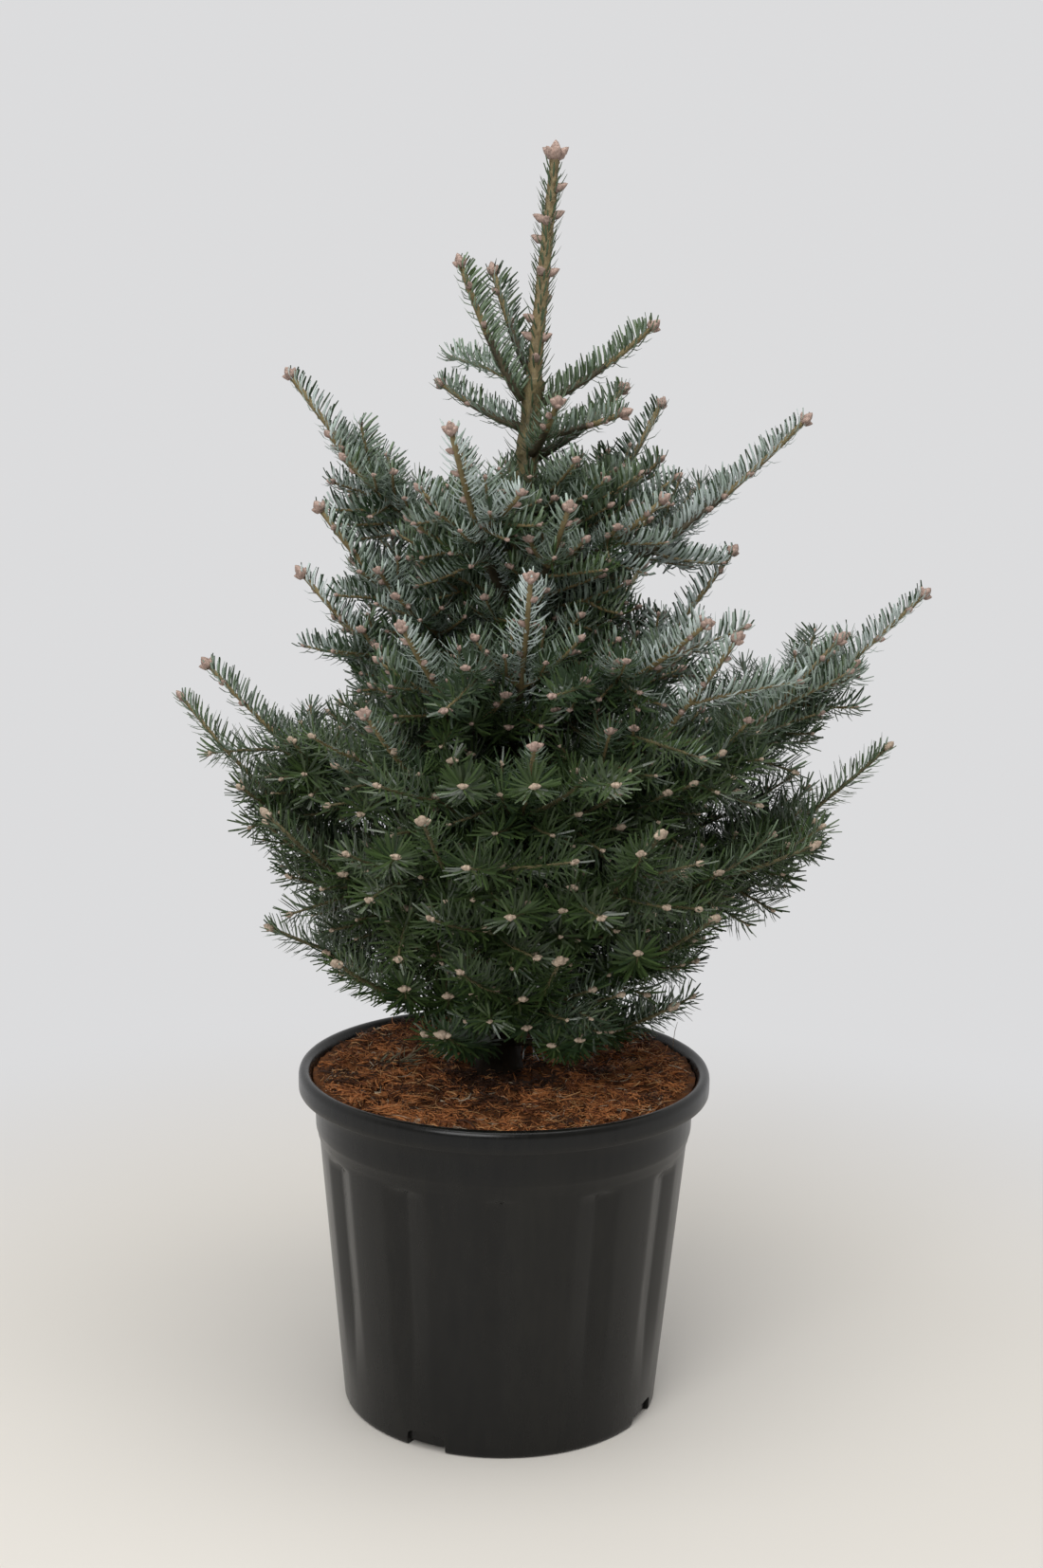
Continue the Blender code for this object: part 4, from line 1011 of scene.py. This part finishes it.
def makeFibres():
    # curled strands in tufts that lie over the soil, each tuft of one tint and heading, with strays between them
    draw = np.random.default_rng(9)
    count, tufts, rings, sides = soilLook["fibres"], soilLook["tufts"], 4, 3
    tuft = draw.integers(0, tufts, count)
    alone = draw.random(count) < soilLook["stray"]
    spots, loose = (around(draw.uniform(0, 2 * math.pi, n), np.sqrt(draw.uniform(0, 1, n)) * reach, 0.0)[:, :2]
                    for n, reach in ((tufts, 0.1540), (count, 0.1565)))
    spot = np.where(alone[:, None], loose, spots[tuft] + draw.normal(0, 0.0042, (count, 2)))
    x, y = spot[:, 0], spot[:, 1]
    size = draw.uniform(0.006, 0.024, count)
    heading = np.where(alone, draw.uniform(0, 2 * math.pi, count),
                       draw.uniform(0, 2 * math.pi, tufts)[tuft] + draw.normal(0, 0.6, count))
    rise = draw.normal(0.05, 0.30, count)
    way = unit(np.stack((np.cos(heading), np.sin(heading), rise), -1))
    curl = unit(np.cross(way, draw.normal(0, 1, (count, 3))))
    pile = np.where(alone, 0, draw.uniform(0.0002, 0.0050, tufts)[tuft])
    middle = np.stack((x, y, soilHeight(x, y) + draw.uniform(0.0002, 0.0028, count) + pile), -1)
    half = way * (size / 2)[:, None]
    bow = curl * (size * draw.uniform(0.1, 0.55, count))[:, None]
    paths = np.stack((middle - half, middle + bow, middle + half), 1)
    for k in range(3):
        level = soilHeight(paths[:, k, 0], paths[:, k, 1]) + draw.uniform(-0.001, 0.0035, count) + pile * 0.5
        paths[:, k, 2] = np.clip(paths[:, k, 2], level - 0.002, level + 0.004)
        out = np.maximum(np.hypot(paths[:, k, 0], paths[:, k, 1]) / 0.1590, 1)[:, None]
        paths[:, k, :2] /= out
    paths[0] = np.array(((0.1480, 0.060, 0.286), (0.1475, 0.060, 0.304), (0.1515, 0.063, 0.314)))  # one stands up
    thick = draw.uniform(0.00018, 0.00050, count) * np.where(draw.random(count) < 0.12, 1.9, 1.0)
    radii = thick[:, None] * np.array((0.7, 1.0, 1.0, 0.5))[None, :]
    # each tuft's tint comes from a broad random ripple, its own, and from painted light: rust, the lightest, towards
    # the front and the right, dark towards the back and the left, where the crown shades the soil
    rustAndPaintedLight = ripple(np.pad(spots, ((0, 0), (0, 1))), 0.07, 66) * 0.5 - spots[:, 1] * 3.0 + spots[:, 0] * 2.6
    own = np.digitize(-(rustAndPaintedLight + draw.normal(0, 0.35, tufts)), (-0.10, 0.25))
    other = draw.choice(5, count, p=(0.34, 0.24, 0.18, 0.18, 0.06))
    tint = np.where(alone | (draw.random(count) < 0.38), other, own[tuft])
    # painted shade: three in four fibres within 55 mm of the trunk take the dark tint, under the low crown
    tint = np.where((np.hypot(x, y + 0.01) < 0.055) & (draw.random(count) < 0.75), 2, tint)
    picks = np.concatenate((np.repeat(tint, (rings - 1) * sides), np.repeat(tint, 2)))
    makePiece("soil_fibres", tubes(paths, radii, rings, sides, 64, rough=0.0), *tubeFaces(count, rings, sides),
              fibrePaint, "soil", ["soil"], picks)


def makeChips():
    # broken flakes of husk: eight corners of a thin box, each pushed aside at random
    draw = np.random.default_rng(10)
    count = soilLook["chips"]
    r = np.sqrt(draw.uniform(0, 1, count)) * 0.1530
    x, y = around(draw.uniform(0, 2 * math.pi, count), r, 0.0)[:, :2].T
    size = draw.uniform(0.0022, 0.0075, count) * np.where(draw.random(count) < 0.12, 1.7, 1.0)
    heading = draw.uniform(0, 2 * math.pi, count)
    way = unit(np.stack((np.cos(heading), np.sin(heading), draw.normal(0, 0.35, count)), -1))
    side = unit(np.cross(draw.normal(0, 0.35, (count, 3)) + np.array((0, 0, 1.0)), way))
    up = np.cross(way, side)
    box = np.array([(i, j, k) for k in (-1, 1) for j in (-1, 1) for i in (-1, 1)], dtype=float)
    box = box[None] * draw.uniform(0.55, 1.1, (count, 8, 3))
    scale = np.stack((size, size * draw.uniform(0.3, 0.7, count), size * draw.uniform(0.10, 0.30, count)), -1)
    along, wide, thick = np.moveaxis(box * scale[:, None] * 0.5, -1, 0)[..., None]
    centre = np.stack((x, y, soilHeight(x, y) + size * 0.22), -1)
    points = centre[:, None] + along * way[:, None] + wide * side[:, None] + thick * up[:, None]
    faces = np.array(((0, 2, 3, 1), (4, 5, 7, 6), (0, 1, 5, 4), (2, 6, 7, 3), (0, 4, 6, 2), (1, 3, 7, 5)))
    corners = np.arange(count)[:, None, None] * 8 + faces
    tint = draw.choice(5, count, p=(0.42, 0.26, 0.20, 0.09, 0.03))
    makePiece("soil_chips", points, corners, np.full(count * 6, 4), chipPaint, "soil", ["soil"],
              np.repeat(tint, 6), smooth=False)

soilBase = mottledMaterial("soilBase", (0.026, 0.010, 0.004), (0.230, 0.086, 0.029), 110, fine=5, low=0.34, high=0.66,
                           rough=(0.75, 0.95), bump=1.0, depth=0.003, specular=0.2)
fibrePaint = [mottledMaterial(*paint, 300, rough=(0.6, 0.85), bump=0.2, specular=0.3) for paint in (
    ("fibreRust", (0.310, 0.100, 0.030), (0.760, 0.320, 0.115)),
    ("fibreBrown", (0.120, 0.042, 0.018), (0.300, 0.108, 0.042)),
    ("fibreDark", (0.030, 0.014, 0.008), (0.090, 0.040, 0.020)),
    ("fibreTan", (0.460, 0.225, 0.085), (0.720, 0.420, 0.190)),
    ("fibrePale", (0.500, 0.400, 0.270), (0.720, 0.620, 0.470)))]
chipPaint = [mottledMaterial(*paint, 240, rough=(0.6, 0.9), bump=0.5, specular=0.3) for paint in (
    ("huskRust", (0.190, 0.064, 0.020), (0.420, 0.160, 0.052)),
    ("huskBrown", (0.070, 0.028, 0.013), (0.190, 0.075, 0.030)),
    ("huskDark", (0.016, 0.008, 0.005), (0.050, 0.022, 0.011)),
    ("huskTan", (0.220, 0.105, 0.045), (0.380, 0.200, 0.090)),
    ("huskPale", (0.420, 0.330, 0.220), (0.620, 0.520, 0.380)))]


def makeSprig():
    # a withered bit of shoot lying on the soil, with two short side shoots
    foot = Vector((-0.112, 0.012, 0.2875))
    bends = (((0, 0, 0), (0.014, -0.002, 0.003), (0.030, -0.004, 0.001)),
             ((0.014, -0.002, 0.002), (0.022, -0.012, 0.003), (0.027, -0.018, 0.001)),
             ((0.016, -0.002, 0.002), (0.024, 0.007, 0.003), (0.032, 0.011, 0.001)))
    group = [newShoot([foot + Vector(p) for p in bend], "foot", -1, 3) for bend in bends]
    points, _ = needlePoints(shootTable(group), 1500, 71)
    points = points * np.array((1, 1, 0.55)) + np.array((0, 0, 0.45 * 0.2885))
    points[..., 2] = np.maximum(points[..., 2], 0.2862)
    picks = np.tile(np.repeat(np.random.default_rng(72).integers(0, 2, len(points)), 4), 2)
    makePiece("soil_sprig", points, *needleFaces(len(points)), witheredPaint, "soil", ["soil"], picks, smooth=False)


witheredPaint = [mottledMaterial(*paint, 200, specular=0.2) for paint in (
    ("witheredGreen", (0.110, 0.115, 0.070), (0.270, 0.270, 0.175)),
    ("witheredBrown", (0.110, 0.075, 0.042), (0.240, 0.180, 0.110)))]
makeSoil()
makeFibres()
makeChips()
makeSprig()
say("soil")


studio = dict(sky=(0.715, 0.716, 0.725), skyStrength=1.0, frontStrength=0.18, floorNear=(0.700, 0.668, 0.614),
              floorSize=6.0, key=42.0, fill=40.0)


def makeFloor():
    # a disc under the pot: cream close by, then the same pale grey as the light all round it
    sides = 96
    points = around(np.arange(sides) * 2 * math.pi / sides, studio["floorSize"], -0.0004)
    mesh = bpy.data.meshes.new("floor")
    mesh.from_pydata([tuple(p) for p in points], [], [list(range(sides))])
    floor = bpy.data.objects.new("floor", mesh)
    scene.collection.objects.link(floor)
    material, shader = newMaterial("floorPale", {"Base Color": (*studio["floorNear"], 1), "Roughness": 0.6,
                                                 "Specular IOR Level": 0.25})
    tree = material.node_tree
    glow, place, far, fade, mix = (tree.nodes.new("ShaderNode" + kind) for kind in (
        "Emission", "TexCoord", "VectorMath", "MapRange", "MixShader"))
    far.operation, fade.interpolation_type = "LENGTH", "SMOOTHSTEP"
    fill(glow, {"Color": (*studio["sky"], 1)})
    fill(fade, {"From Min": 0.42, "From Max": 1.15})
    wire(tree, (
        (place, "Object", far, 0), (far, "Value", fade, "Value"), (fade, "Result", mix, 0), (shader, 0, mix, 1),
        (glow, 0, mix, 2), (mix, 0, tree.nodes["Material Output"], "Surface")))
    mesh.materials.append(material)


def areaLight(name, spot, aim, size, power):
    # a rectangle of light at the spot, turned to its aim
    lamp = bpy.data.lights.new(name, "AREA")
    lamp.shape, lamp.size, lamp.size_y, lamp.energy = "RECTANGLE", size[0], size[1], power
    holder = bpy.data.objects.new(name, lamp)
    holder.location = spot
    holder.rotation_euler = (Vector(aim) - Vector(spot)).to_track_quat("-Z", "Y").to_euler()
    scene.collection.objects.link(holder)
    holder.visible_camera = False


makeFloor()
areaLight("lightAbove", (0.15, -0.75, 2.75), (0, 0, 0.4), (2.2, 1.3), studio["key"])
areaLight("lightFront", (-0.9, -2.5, 1.75), (0, 0, 0.45), (1.6, 1.2), studio["fill"])
world = bpy.data.worlds.new("paleRoom")
world.use_nodes = True
tree = world.node_tree
place, split, fade = (tree.nodes.new("ShaderNode" + kind) for kind in ("TexCoord", "SeparateXYZ", "MapRange"))
fade.interpolation_type = "SMOOTHSTEP"
fill(tree.nodes["Background"], {"Color": (*studio["sky"], 1)})
fill(fade, {"From Min": -0.75, "From Max": 0.20, "To Min": studio["frontStrength"], "To Max": studio["skyStrength"]})
wire(tree, ((place, "Generated", split, "Vector"), (split, "Y", fade, "Value"),
            (fade, "Result", tree.nodes["Background"], "Strength")))
scene.world = world
scene.view_settings.view_transform = "Standard"

view = dict(spot=tuple(eye), tilt=79.70, roll=0.97, lens=49.88)
camera = bpy.data.objects.new("camera", bpy.data.cameras.new("camera"))
camera.data.lens, camera.data.sensor_width = view["lens"], 36.0
camera.matrix_world = (Matrix.Translation(view["spot"]) @ Matrix.Rotation(math.radians(view["tilt"]), 4, "X")
                       @ Matrix.Rotation(math.radians(view["roll"]), 4, "Z"))
scene.collection.objects.link(camera)
scene.camera = camera
bpy.context.view_layer.update()

meshes = [o.data for o in scene.objects if o.type == "MESH" and not o.hide_render]
say(f"{sum(len(p.vertices) - 2 for mesh in meshes for p in mesh.polygons)} triangles")
